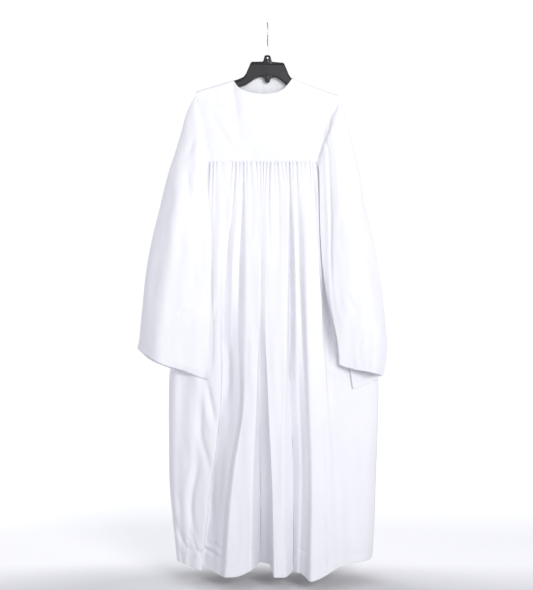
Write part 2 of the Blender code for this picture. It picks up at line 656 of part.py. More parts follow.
def sleeve_grid(lines, stations):
    """Closed rings of points down a sleeve: its front layer, then its back layer."""
    number = len(lines["outer"])
    along = range(number)
    rings = []
    for station in stations:
        at = {}
        for name, points in lines.items():
            rows = np.array(points, float)
            at[name] = np.array([float(through(along, rows[:, axis], station)) for axis in range(3)])
        outer, tip = at["outer"], at["tip"]
        front = [outer, beside(outer, at["ridge"], -FOLD_ROUND), at["ridge"], at["panel"], at["lip"]]
        front += [beside(tip, at["lip"], -TIP_ROUND), tip]
        back = [tip, beside(tip, at["under"], TIP_ROUND), at["under"], at["back"], at["heel"]]
        back += [beside(outer, at["heel"], FOLD_ROUND), outer]
        ring = list(layer_points(front, FRONT_LAYER_STEPS))[:-1]
        ring += list(layer_points(back, BACK_LAYER_STEPS))[:-1]
        rings.append(ring)
    return np.array(rings)


def fit_armhole(ring, side):
    """Sets a sleeve's first ring against the yoke's edge and just over the skirt's top edge."""
    ring = ring.copy()
    on_yoke = ring[:, 2] > YOKE_SEAM_Z
    ring[on_yoke, 0] = armhole_x(side, ring[on_yoke, 2]) + side * ARMHOLE_GAP
    low = np.flatnonzero(~on_yoke)
    corner = float(armhole_x(side, YOKE_SEAM_Z))
    span = abs(FRONT_FOLDS[0 if side < 0 else -1][1][0] - corner)
    angle = math.pi * (0.5 - (np.arange(len(low)) + 0.5) / len(low))
    across, forward = np.cos(angle) / span, np.sin(angle) / SEAM_CORNER_OUT
    length = np.hypot(across, forward)
    _, height = skirt_top_edge(corner + side * span * np.cos(angle))
    ring[low, 0] = corner + side * (span * np.cos(angle) + UNDERARM_WRAP * across / length)
    ring[low, 1] = -SEAM_CORNER_OUT * np.sin(angle) - UNDERARM_WRAP * forward / length
    ring[low, 2] = height + SEAM_GAP
    return ring


def clear_of_skirt(ring, side, front, back):
    """Moves a sleeve's points just clear of the skirt's side, to its front, back or outside."""
    ring = ring.copy()
    for point in ring:
        drop = YOKE_SEAM_Z - point[2]
        if drop < 0:
            continue
        panel, facing = (front, -1) if point[1] <= 0 else (back, 1)
        row = float(np.interp(drop, SKIRT_DROPS, range(len(SKIRT_DROPS))))
        low, part = int(row), row - int(row)
        line = panel[low] * (1 - part) + panel[min(low + 1, len(panel) - 1)] * part
        edge = line[0, 0] if side < 0 else line[-1, 0]
        if side * (point[0] - edge) < SLEEVE_CLEARANCE:
            face = abs(float(np.interp(point[0], line[:, 0], line[:, 1])))
            point[1] = facing * max(facing * point[1], face + SLEEVE_CLEARANCE)
    return ring


def build_sleeve(name, lines, out, cotton, skirts):
    number = len(lines["outer"])
    stations = list(SLEEVE_TOP_STATIONS) + list(range(2, number - 2))
    stations += [number - 2, number - 2 + HEM_STEP, number - 1]
    hem = np.array([HEM_EXTRA if station > number - 2 else 0.0 for station in stations])
    grid = sleeve_grid(lines, stations)
    grid[0] = fit_armhole(grid[0], -out)
    for k in range(1, len(grid)):
        grid[k] = clear_of_skirt(grid[k], -out, *skirts)
    cloth_wall(name, grid, cotton, out, closed=True, extra=hem)


def hanger_edges():
    """Top and bottom edge of the hanger at each place across it."""
    reach, height = ARM_TOP_AT
    upper = np.array(BLOCK_TOP + ((reach, height),))
    lower = np.array(BLOCK_BOTTOM + ((reach, height - ARM_HEIGHT),))
    spots = sorted({*upper[:, 0], *lower[:, 0], *ARM_SECTIONS, ARM_HALF_SPAN})
    rows = []
    for x in spots:
        top = float(np.interp(x, upper[:, 0], upper[:, 1])) - max(x - reach, 0.0) * ARM_SLOPE
        low = float(np.interp(x, lower[:, 0], lower[:, 1])) - max(x - reach, 0.0) * ARM_SLOPE
        if x == ARM_HALF_SPAN:
            top, low = top - ARM_END_ROUND, low + ARM_END_ROUND
        rows.append((x, top, low))
    return [(-x, top, low) for x, top, low in rows[:0:-1]] + rows


def build_hanger(plastic):
    """The hanger's flat body: arms, block, boss and centre nub, with rounded edges."""
    points, faces = [], []
    edges = hanger_edges()
    side, corner = ARM_HALF_THICK, ARM_HALF_THICK - ARM_BOTTOM_ROUND
    for x, top, low in edges:
        top, low = top + HANGER_TILT * x, low + HANGER_TILT * x
        ring = []
        for k in range(6):
            angle = math.pi * k / 5
            ring.append((x, -side * math.cos(angle), top - ARM_TOP_ROUND * (1 - math.sin(angle))))
        ring += [(x, side, low + ARM_BOTTOM_ROUND), (x, corner, low)]
        ring += [(x, -corner, low), (x, -side, low + ARM_BOTTOM_ROUND)]
        points += ring
    count = len(points) // len(edges)
    for i in range(len(edges) - 1):
        for k in range(count):
            n = (k + 1) % count
            a, b = i * count + k, i * count + n
            faces.append((a, a + count, b + count, b))
    faces.append(tuple(range(count)))
    faces.append(tuple(range(len(points) - 1, len(points) - count - 1, -1)))
    return mesh_object("hanger_body", points, faces, plastic)


def hook_path():
    """Centre line of the hook in the YZ plane: stem, bend and a round curl open to the front."""
    centre_z = HOOK_WIRE_R - HOOK_R
    join = math.radians(HOOK_BEND_ENDS_AT)
    end = np.array([HOOK_R * math.cos(join), centre_z + HOOK_R * math.sin(join)])
    start = np.array([0.0, centre_z - HOOK_R - HOOK_STEM])
    rise, run = HOOK_BEND_HANDLES
    heading = np.array([-math.sin(join), math.cos(join)])
    handles = (start, start + np.array([0.0, rise]), end - run * heading, end)
    path = [(0.0, BOSS_TOP_Z + SEAM_GAP)]
    for t in np.linspace(0.0, 1.0, 9):
        weights = ((1 - t) ** 3, 3 * t * (1 - t) ** 2, 3 * t * t * (1 - t), t**3)
        path.append(tuple(sum(w * h for w, h in zip(weights, handles))))
    for degrees in range(*HOOK_CURL):
        angle = math.radians(degrees)
        path.append((HOOK_R * math.cos(angle), centre_z + HOOK_R * math.sin(angle)))
    return [(0.0, y, z) for y, z in path]


def build_hook(steel):
    curve = bpy.data.curves.new("hanger_hook", "CURVE")
    curve.dimensions = "3D"
    curve.bevel_depth = HOOK_WIRE_R * MM
    curve.bevel_resolution = 2
    curve.use_fill_caps = True
    path = hook_path()
    spline = curve.splines.new("POLY")
    spline.points.add(len(path) - 1)
    for point, (x, y, z) in zip(spline.points, path):
        point.co = (x * MM, y * MM, z * MM, 1.0)
    curve.materials.append(steel)
    thing = bpy.data.objects.new("hanger_hook", curve)
    bpy.context.scene.collection.objects.link(thing)
    return thing


def build_gown():
    clear_scene()
    cotton = finish_of("white cotton", WHITE_COTTON, 0.75)
    pearl = finish_of("pearl white", PEARL, 0.3)
    plastic = finish_of("black plastic", BLACK_PLASTIC, 0.35)
    steel = finish_of("bright steel", BRIGHT_STEEL, 0.25, 1.0)
    back = build_yokes(cotton)
    build_placket(back, cotton, pearl)
    skirts = build_skirts(cotton)
    build_sleeve("sleeve_right", RIGHT_SLEEVE, 1, cotton, skirts)
    build_sleeve("sleeve_left", LEFT_SLEEVE, -1, cotton, skirts)
    build_hanger(plastic)
    build_hook(steel)


build_gown()
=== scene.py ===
"""The looks of a white christening gown that hangs on a black plastic hanger.

Each piece of cloth is a thin shell of its own. It follows the outline and the large folds of its
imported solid. The valleys between the folds have a depth of their own, and the gathers, creases,
turned hems and stitches are finer. Sizes are in millimetres in the part's frame, and become metres
when a mesh is made. The gown's front faces -Y and +Z is up. "Right" and "left" in names are the
wearer's, so the right sleeve is at -X.
"""

import math

import bpy
import numpy as np
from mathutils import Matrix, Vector


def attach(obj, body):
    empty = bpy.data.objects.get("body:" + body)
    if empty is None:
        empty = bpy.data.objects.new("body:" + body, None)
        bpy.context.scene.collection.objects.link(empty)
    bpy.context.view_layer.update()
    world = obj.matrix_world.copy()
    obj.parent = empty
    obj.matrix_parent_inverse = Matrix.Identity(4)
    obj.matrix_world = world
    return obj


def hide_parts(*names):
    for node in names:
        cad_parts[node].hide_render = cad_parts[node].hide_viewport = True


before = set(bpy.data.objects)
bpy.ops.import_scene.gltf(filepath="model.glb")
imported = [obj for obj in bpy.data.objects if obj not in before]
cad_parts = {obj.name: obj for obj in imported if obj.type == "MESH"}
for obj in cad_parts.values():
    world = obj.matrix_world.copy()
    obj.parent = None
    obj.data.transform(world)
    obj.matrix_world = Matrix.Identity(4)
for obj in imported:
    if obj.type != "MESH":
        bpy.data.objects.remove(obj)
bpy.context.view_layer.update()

MM = 0.001

# Cloth
CLOTH = 0.6
TURN_GAP = 1.1
TURN_ANGLES = (36, 72, 108, 144)
HEM_DEPTH = 27.0
CUFF_DEPTH = 11.0
NECK_TURN = 5.0
SEAM_TUCK = 1.25
SEAM_TUCK_REACH = 6.0

# Heights and seams of the gown
YOKE_SEAM_Z = -288.0
UNDERARM_Z = -302.0
HEM_Z = -1122.0
BACK_CENTRE_X = -10.0
SEAM_OUT = 20.0
SEAM_CORNER_OUT = 17.0
SEAM_CORNER_EASE = 14.0
UNDERARM_CURVE = 1.4
BACK_FLATNESS = 0.86

# Hanger
ARM_HALF_THICK = 4.5
ARM_HALF_SPAN = 142.0
ARM_END = 3.0
ARM_END_ROUND = 4.0
ARM_SLOPE = 0.335
ARM_TOP_AT = (73.0, -121.5)
ARM_HEIGHT = 15.6
HANGER_TILT = -0.03
ARM_ROLL = 6.35
HOOK_WIRE_R = 1.5
HOOK_R = 19.0
HOOK_STEM = 12.0
HOOK_BEND_HANDLES = (9.0, 8.0)
HOOK_BEND_STEPS = 15
# Degrees round the hook: where the stem's bend meets it, and its curl's start, stop and step
HOOK_BEND_ENDS_AT = -50
HOOK_CURL = (-38, 206, 6)
HOOK_ROOT_RISES = (-0.6, 1.5, 8.0)
WIRE_SIDES = 16
# The wire's rounded end: how far past its last point each ring lies, and the ring's size, in radii
WIRE_END = ((0.55, 0.82), (0.95, 0.3))
BOSS_TOP_Z = -66.0
PIN_Z = -72.2

# Hanger's web, sunk between its rims
WEB_HALF_THICK = 2.3
WEB_STOP = 7.0
WEB_TOP_Z = -84.4
WEB_FOOT_Z = -108.0
WEB_LEAST = 2.0
NUB_HALF_WIDTH = 12.0
TOP_RIM = 5.0
TOP_RIM_ROUND = 4.2
TOP_RIM_STEPS = 8
LOW_RIM = 3.0
RIM_BEVEL = 0.35
# The lower rim's rounding: how far in and how far up each point lies
LOW_RIM_ROUND = ((0.0, 1.5), (0.5, 0.5), (1.6, 0.0))
# Steps across, as far as the block reaches and along the arms, and the places near an arm's end
BLOCK_REACH = 60.0
BLOCK_STEP = 1.2
ARM_STEP = 3.0
ARM_END_PLACES = (2.0, 1.0, 0.3, 0.0)

# Hanger's turned forms: radius, height. The pin's ring and head list radius, distance out from the
# hanger's middle. A form's point is a tiny ring.
POINT_R = 0.01
BOSS = (
    (0.0, -84.6), (3.4, -84.4), (4.9, -83.2), (5.6, -81.4), (5.8, -79.0), (5.5, -73.0),
    (5.2, -68.2), (4.9, -66.6), (4.2, -65.8), (2.1, -65.7), (1.9, -66.4),
)
NUB = (
    (0.0, -122.7), (1.9, -122.5), (3.3, -121.4), (4.1, -119.0), (4.7, -113.5), (5.0, -109.6),
    (4.7, -107.9), (3.4, -106.9), (0.0, -106.7),
)
PIN_RING = ((2.9, 4.6), (3.1, 5.6), (2.9, 6.0), (2.5, 6.05), (2.2, 5.8), (2.1, 5.2))
PIN_HEAD = ((2.2, 4.9), (2.15, 5.5), (1.7, 5.9), (0.9, 6.1), (0.0, 6.15))

# Hanger's block: distance from the middle, height of its edge there
BLOCK_TOP = (
    (0.0, -66.0), (5.4, -66.0), (6.2, -67.2), (9.2, -77.6), (10.6, -78.6), (32.5, -79.8),
    (35.0, -81.8), (39.5, -92.0), (44.5, -104.0), (49.0, -110.9), (55.0, -114.2), (60.0, -116.6),
)
BLOCK_BOTTOM = (
    (0.0, -122.3), (3.4, -122.0), (4.6, -120.2), (7.4, -112.6), (9.0, -111.2),
    (17.5, -111.4), (27.0, -115.8), (35.0, -121.8), (42.0, -126.8), (52.0, -131.2),
)

# Top edge of the yoke: the neckline, from its right corner round to its left one
FRONT_NECK = (
    (-72.0, -117.8), (-71.3, -118.5), (-70.0, -120.7), (-67.5, -125.0), (-63.0, -131.5),
    (-56.0, -137.8), (-47.0, -142.2), (-29.0, -147.2), (-8.0, -149.0), (15.5, -146.6),
    (29.5, -141.0), (36.0, -136.3), (41.0, -130.5), (46.0, -124.0), (49.5, -118.6),
    (52.0, -114.4), (53.5, -113.2),
)
BACK_NECK = (
    (-72.0, -117.8), (-70.5, -117.2), (-68.5, -116.6), (-65.0, -116.0), (-50.0, -110.0),
    (-30.0, -105.0), (-10.0, -103.5), (10.0, -104.2), (30.0, -106.6), (45.0, -110.4),
    (49.5, -111.7), (52.0, -112.6), (53.5, -113.2),
)
FRONT_NECK_DROP_OUT = 9.0
FRONT_NECK_DROP_REACH = 32.0
BACK_NECK_OUT = 1.65
BACK_NECK_REACH = 20.0

# Armhole edges of the yoke: height, place across
ARMHOLE_TOP_X = 150.0
RIGHT_ARMHOLE = (
    (-142.0, -150.0), (-149.5, -149.5), (-165.0, -144.5), (-190.0, -139.0),
    (-232.0, -132.5), (-288.0, -123.0),
)
LEFT_ARMHOLE = (
    (-147.0, 150.0), (-152.0, 149.5), (-162.0, 145.0), (-178.0, 135.0),
    (-213.0, 123.5), (-248.0, 112.5), (-288.0, 102.0),
)

# Skirt: heights of the levels at which each fold's place is given
SKIRT_LEVELS = (YOKE_SEAM_Z, -370.0, -490.0, -620.0, -760.0, -930.0, HEM_Z)
# Each fold: its place across at the seven levels, then how far out it stands at the six levels
# below the yoke seam. Front and back meet at the same sides.
SIDE_RIGHT = ("side right", (-130.0, -147, -166, -184, -206, -205, -188), (0.15,) * 6)
SIDE_LEFT = ("side left", (109.4, 132, 157, 186, 232, 227, 217), (0.15,) * 6)
FRONT_FOLDS = (
    SIDE_RIGHT,
    ("side ridge", (-126.4, -138, -150, -163, -182, -186, -178), (18, 20, 26, 39, 45, 50)),
    ("swell 1", (-120.5, -124, -118, -124, -140, -154, -163), (29, 38, 46, 55, 58, 61)),
    ("ridge 1", (-95.8, -100, -102, -99, -96, -112, -134), (32, 43, 53, 62, 71, 78)),
    ("valley 2", (-65.0, -70, -84, -91, -94, -111, -132), (27.5, 32, 23.5, 26, 34, 44)),
    ("slope 2", (-58.7, -61, -71, -75, -75, -94, -113), (30.5, 40, 38, 39.5, 51, 61)),
    ("valley 3", (-50.5, -52, -58, -60, -56, -79, -96), (26.5, 30, 41, 56, 71, 80)),
    ("ridge 2", (-44.3, -44, -41, -42, -45, -68, -83), (31.5, 45, 58, 71, 88, 99)),
    ("ridge 3", (-23.7, -19, -17, -18, -23, -31, -36), (32, 46, 60, 74, 92, 103)),
    ("valley 4", (-15.5, -14, -14, -14, -17, -16, -15), (31.5, 45, 50, 49, 47, 43)),
    ("valley 4 right", (-8.8, -10, -10, -9, -4, 2, 5), (31.5, 46, 57, 63, 64, 56)),
    ("ridge 4", (-2.5, -6, -4, -4, 1, 9, 14), (32, 47, 61, 76, 94, 106)),
    ("ridge 5", (36.0, 42, 42, 39, 34, 28, 34), (32, 47, 61.5, 77, 95, 107)),
    ("valley 5", (45.0, 46.5, 46.5, 46, 45, 52, 52), (25, 25, 28, 41, 58, 64)),
    ("ridge 6", (50.5, 54, 57, 60, 62, 67, 63), (29.5, 41, 46.5, 58, 75, 80)),
    ("valley 6", (60.0, 62, 64, 69, 73, 79, 73), (27, 31, 44.5, 66.5, 88, 94)),
    ("ridge 7", (69.0, 73, 79, 81, 84, 89, 86), (31, 45, 60, 78, 101, 117)),
    ("ridge 8", (91.7, 97, 104, 112, 117, 117, 118), (30, 40, 50, 68, 90, 104)),
    ("valley 7", (99.0, 102.5, 107.5, 114.6, 122.5, 137, 146), (33.5, 36, 15, 60, 75, 84)),
    ("side swell", (105.6, 117, 129, 145, 172, 180, 182), (22, 24, 27, 37, 50, 62)),
    SIDE_LEFT,
)
# The front's fine gathers: each valley's place on the yoke seam, how far down it reaches, and its
# share of the full height
FRONT_GATHERS = (
    (-120.5, 90, 0.4), (-112.3, 130, 0.9), (-106.0, 60, 0.7), (-95.8, 26, 0.3), (-73.0, 60, 0.3),
    (-65.0, 200, 1.1), (-58.7, 90, 0.5), (-50.5, 260, 1.2), (-44.3, 60, 0.5), (-36.0, 90, 0.5),
    (-23.7, 60, 0.35), (-15.5, 160, 0.7), (-8.8, 180, 0.8), (-2.5, 90, 0.5), (5.2, 240, 1.0),
    (13.4, 120, 0.5), (19.6, 250, 1.0), (27.8, 60, 0.3), (36.0, 60, 0.35), (45.0, 200, 1.2),
    (50.5, 60, 0.3), (60.0, 170, 1.0), (69.0, 60, 0.4), (75.2, 80, 0.45), (85.5, 80, 0.6),
    (91.7, 60, 0.5), (99.0, 120, 0.4),
)
BACK_FOLDS = (
    SIDE_RIGHT,
    ("side swell", (-126.4, -135, -148, -160, -182, -184, -172), (13, 15, 17, 20, 26, 32)),
    ("valley 1", (-117.0, -118, -124, -132, -150, -154, -144), (17, 20, 24, 28, 33, 37)),
    ("ridge 1", (-99.0, -99, -104, -110, -124, -132, -126), (24, 30, 36, 43, 52, 60)),
    ("valley 2", (-81.0, -79, -80, -84, -96, -106, -102), (20, 21, 22, 25, 30, 37)),
    ("ridge 2", (-63.0, -62, -64, -66, -76, -84, -80), (26, 34, 43, 52, 63, 73)),
    ("valley 3", (-45.0, -45, -50, -54, -58, -60, -58), (23, 29, 35, 40, 47, 52)),
    ("ridge 3", (-28.0, -26, -27, -27, -24, -23, -19), (27, 36, 46, 56, 68, 78)),
    ("valley 4", (-10.0, -7, -3, 0, 6, 9, 14), (22, 24, 26, 29, 36, 42)),
    ("ridge 4", (10.0, 11, 15, 19, 27, 30, 34), (27, 35, 45, 55, 68, 78)),
    ("valley 5", (28.0, 29, 33, 37, 46, 50, 53), (23, 28, 34, 39, 47, 53)),
    ("ridge 5", (46.0, 51, 60, 70, 84, 90, 92), (26, 34, 43, 53, 65, 76)),
    ("valley 6", (64.0, 69, 80, 93, 112, 118, 118), (19, 21, 23, 26, 32, 38)),
    ("ridge 6", (82.0, 88, 98, 112, 134, 142, 142), (23, 29, 36, 44, 55, 64)),
    ("valley 7", (98.0, 105, 118, 134, 161, 168, 166), (17, 20, 24, 28, 33, 37)),
    ("side swell 2", (105.6, 119, 140, 164, 203, 204, 196), (13, 15, 17, 19, 24, 30)),
    SIDE_LEFT,
)
# The back's gathers: how many, how far they stray from an even pitch, then their usual reach and share
# of the full height, each with how much it varies. The turns set how all three change along the seam.
BACK_GATHER_COUNT = 24
BACK_GATHER_SWAY = 1.1
BACK_GATHER_REACH = (120.0, 70.0)
BACK_GATHER_SHARE = (0.8, 0.3)
BACK_GATHER_TURNS = (2.4, 1.7, 2.9)
# The hem's height along the front and back: place across, height above the hem line
FRONT_HEM_LIFT = (
    (-190, 14.0), (-165, 11.0), (-150, 8.0), (-130, 3.0), (-110, -2.0), (-93, -5.0), (-65, -3.6),
    (-50, 1.0), (-36, 8.0), (-19, 12.0), (4, 11.0), (10, 2.0), (14, -3.0), (30, -3.0), (50, -2.0),
    (66, 0.0), (84, -8.0), (100, -6.0), (114, -1.0), (130, 8.0), (150, 13.0), (182, 16.0), (218, 17.0),
)
BACK_HEM_LIFT = ((-190, 12.0), (-120, 4.0), (0, 3.0), (120, 6.0), (218, 16.0))
GATHER_HEIGHT = 3.1
GATHER_AT_SEAM = 0.25
GATHER_START = 7.0
GATHER_FADE = 1.3
GATHER_EDGE = 2.2
WIDE_FLUTE = 8.0
SHALLOW_FOLD = 8.0
FLUTE_COLUMNS = 8
# Rows down the skirt: the drop at which each stretch starts, and its number of rows
SKIRT_ROW_STEPS = ((-3.0, 2), (0.0, 8), (12.0, 16), (60.0, 30), (200.0, 36), (480.0, 34), (760.0, 30))

# Sleeves: each line runs from the armhole to the cuff
RIGHT_SLEEVE = {
    "outer": (
        (-150.3, 0, -149.5), (-168, -4, -186), (-188, -9, -258), (-211, -14, -336),
        (-242, -19, -471), (-256, -22, -570), (-266, -25, -663), (-268, -26, -675),
    ),
    "ridge": (
        (-139.3, -14, -190), (-152, -24, -235), (-164, -36, -312), (-178, -48, -373),
        (-192, -60, -492), (-203, -66, -585), (-213, -70, -690), (-214, -70, -703),
    ),
    "panel": (
        (-132.8, -17, -232), (-140, -29, -275), (-146, -42, -345), (-152, -51, -420),
        (-165, -58, -528), (-170, -62, -618), (-176, -64, -704), (-180, -62, -715),
    ),
    "lip": (
        (-123.4, -19.0, -286.5), (-124, -28, -313), (-122, -37, -374), (-119, -44, -452),
        (-117, -50, -560), (-115, -52, -643), (-121, -53, -722), (-125, -51, -734),
    ),
    "tip": (
        (-133.0, 0, -301.2), (-141, -15, -322), (-118.5, -34, -392), (-114, -41, -466),
        (-113, -46, -572), (-110, -48, -655), (-116, -48, -724), (-120.5, -47, -735),
    ),
    "under": (
        (-123.4, 14.8, -286.6), (-145, -4, -309), (-137, -25, -397), (-133, -34, -470),
        (-129, -39, -578), (-127, -42, -662), (-134, -41, -720), (-138, -40, -731),
    ),
    "back": (
        (-131.5, 14.5, -238), (-152, 6, -262), (-162, -10, -332), (-176, -22, -407),
        (-190, -30, -527), (-197, -33, -620), (-198.5, -35, -703), (-200, -35, -714),
    ),
    "heel": (
        (-142, 12, -185), (-160, 3, -222), (-178, -6, -290), (-196, -16, -368),
        (-220, -23, -497), (-232, -26, -600), (-238, -29, -688), (-238, -29, -699),
    ),
}
LEFT_SLEEVE = {
    "outer": (
        (150.3, 0, -151.5), (163, -4, -196), (183, -9, -275), (203, -14, -380),
        (227, -19, -496), (242, -23, -610), (247.5, -26, -672), (241.5, -28, -719),
        (239, -29, -730),
    ),
    "ridge": (
        (135.4, -14, -178), (148, -23, -221), (162, -35, -292), (171, -46, -377),
        (182, -55, -457), (202, -62, -560), (214, -63, -655), (212, -62, -709),
        (210, -61, -721),
    ),
    "panel": (
        (123.8, -17, -213), (134, -31, -262), (143, -43, -332), (150, -52, -417),
        (156, -58, -502), (168, -62, -595), (178, -60, -664), (177, -58, -703),
        (176, -57, -715),
    ),
    "lip": (
        (112.8, -18, -248), (118, -31, -300), (123, -39, -368), (126.5, -46, -454),
        (126, -51, -537), (136, -54.5, -622), (143.5, -55, -667), (146.5, -54, -694),
        (147, -53, -706),
    ),
    "tip": (
        (102.4, -21.2, -286.6), (106, -30, -322), (107, -34.5, -398), (110, -38, -480),
        (118.5, -41, -556), (129, -43, -606), (141, -44, -657), (144, -46, -691),
        (144.5, -46, -703),
    ),
    "under": (
        (113.5, -2, -300.6), (122, -18, -325), (124, -29, -400), (127, -31, -482),
        (133, -34, -565), (143, -36, -630), (154, -38, -676), (164, -38, -702),
        (171, -38, -711),
    ),
    "back": (
        (102.4, 14.8, -286.6), (134, 5, -281), (147, -12, -347), (158, -23, -437),
        (168, -28, -532), (178, -31, -628), (180, -33, -700), (177.5, -35, -744),
        (176, -34, -756),
    ),
    "heel": (
        (121, 13, -222), (151, 3, -234), (167, -4, -307), (183, -13, -400),
        (200, -20, -499), (215, -24, -606), (220, -28, -690), (213.5, -30, -731),
        (212, -30, -743),
    ),
}
FRONT_LAYER_STEPS = (6, 12, 18, 18, 12, 6)
BACK_LAYER_STEPS = (6, 18, 18, 12, 12, 6)
SLEEVE_ROWS = 150
# How far down a sleeve, in its lines' stations, the armhole's fit ends and the full clearance starts
ARMHOLE_BLEND = 0.55
CLEARANCE_START = 0.5
FOLD_ROUND = 1.9
TIP_ROUND = 1.14
SLEEVE_CLEARANCE = 3.2
CLEARANCE_EASE = 4.0
CLEARANCE_HALF_SPAN = 300.0
CLEARANCE_STEP = 2.0
UNDERARM_WRAP = 1.5

# Back opening
BACK_HALF_GAP = 0.02
PLACKET_WIDTH = 18.0
PLACKET_THICK = 1.1
PLACKET_TOP_RISE = 0.6
PLACKET_SLOPE_COLUMN = 5
PLACKET_ROWS = 92
PLACKET_COLUMNS = 19
# The placket is flat this far from its middle, and its puckers are full at twice as far
PLACKET_FLAT = 4.0
PLACKET_PUCKERS = (7.4, 0.22)
PLACKET_STITCH_OUT = 0.62
PLACKET_END_Z = -284.0
PLACKET_LIFT = 1.15
BUTTON_Z = (-113.0, -166.0, -219.0)
# A button and one of its four holes, both turned: radius, distance out from the placket. A hole is
# a small disc with painted shade.
BUTTON = (
    (0.0, 0.3), (2.6, 0.25), (4.8, 0.35), (5.35, 0.8), (5.5, 1.4), (5.35, 1.95), (5.0, 2.28),
    (4.5, 2.42), (3.95, 2.3), (3.55, 1.98), (3.2, 1.75), (2.3, 1.66), (0.0, 1.62),
)
BUTTON_HOLE = ((0.0, 1.5), (0.62, 1.55), (0.66, 1.72), (0.5, 1.74), (0.0, 1.74))
BUTTON_HOLE_OFFSET = 1.05
BUTTON_THREAD_OUT = 1.9
BUTTON_SIDES = 48
HOLE_SIDES = 14
# The buttonhole's two rows of stitches
SLIT_HALF = 7.4
SLIT_PITCH = 0.75
SLIT_OFFSET = 0.75
SLIT_OUT = 0.12
SLIT_STITCH_SHARE = 0.45

# Creases: points (across, height), width, depth, strength at the start and end.
# A negative depth is a soft ridge. The share is the stretch at each end where the strength changes,
# and a low rim lies beside each crease, as a share of its depth and a multiple of its width.
CREASE_END_SHARE = 0.35
CREASE_RIM = (0.3, 2.3)
FRONT_YOKE_CREASES = (
    (((-121, -182), (-96, -226), (-60, -284)), 8, 1.5, 0.2, 0.4),
    (((-112, -180), (-84, -226), (-52, -272)), 9, -1.0, 0.2, 0.2),
    (((-70, -124), (-80, -158), (-84, -196)), 8, 1.0, 0.9, 0.0),
    (((-104, -133), (-112, -160), (-122, -176)), 7, 0.9, 0.3, 0.5),
    (((51, -116), (64, -150), (70, -186)), 9, 0.9, 0.8, 0.0),
    (((112, -150), (96, -190), (88, -236)), 8, 1.1, 0.3, 0.1),
    (((121, -190), (104, -214), (86, -226)), 6, -0.9, 0.6, 0.0),
    (((-30, -152), (-26, -190), (-31, -224)), 13, 0.8, 0.4, 0.0),
    (((22, -150), (26, -196), (20, -238)), 14, -0.7, 0.3, 0.0),
    (((-44, -252), (-6, -261), (30, -254)), 10, -0.6, 0.0, 0.0),
)
BACK_YOKE_CREASES = (
    (((-118, -170), (-92, -214), (-64, -262)), 9, 1.3, 0.3, 0.1),
    (((-108, -166), (-82, -200), (-70, -226)), 8, -0.9, 0.1, 0.1),
    (((100, -160), (82, -206), (60, -252)), 9, 1.3, 0.3, 0.1),
    (((66, -124), (58, -160), (50, -200)), 10, 0.9, 0.6, 0.0),
    (((-72, -122), (-58, -160), (-52, -196)), 10, 0.8, 0.6, 0.0),
    (((30, -120), (27, -170), (32, -222)), 12, 0.8, 0.3, 0.0),
    (((-36, -128), (-34, -180), (-38, -226)), 12, -0.7, 0.3, 0.0),
)
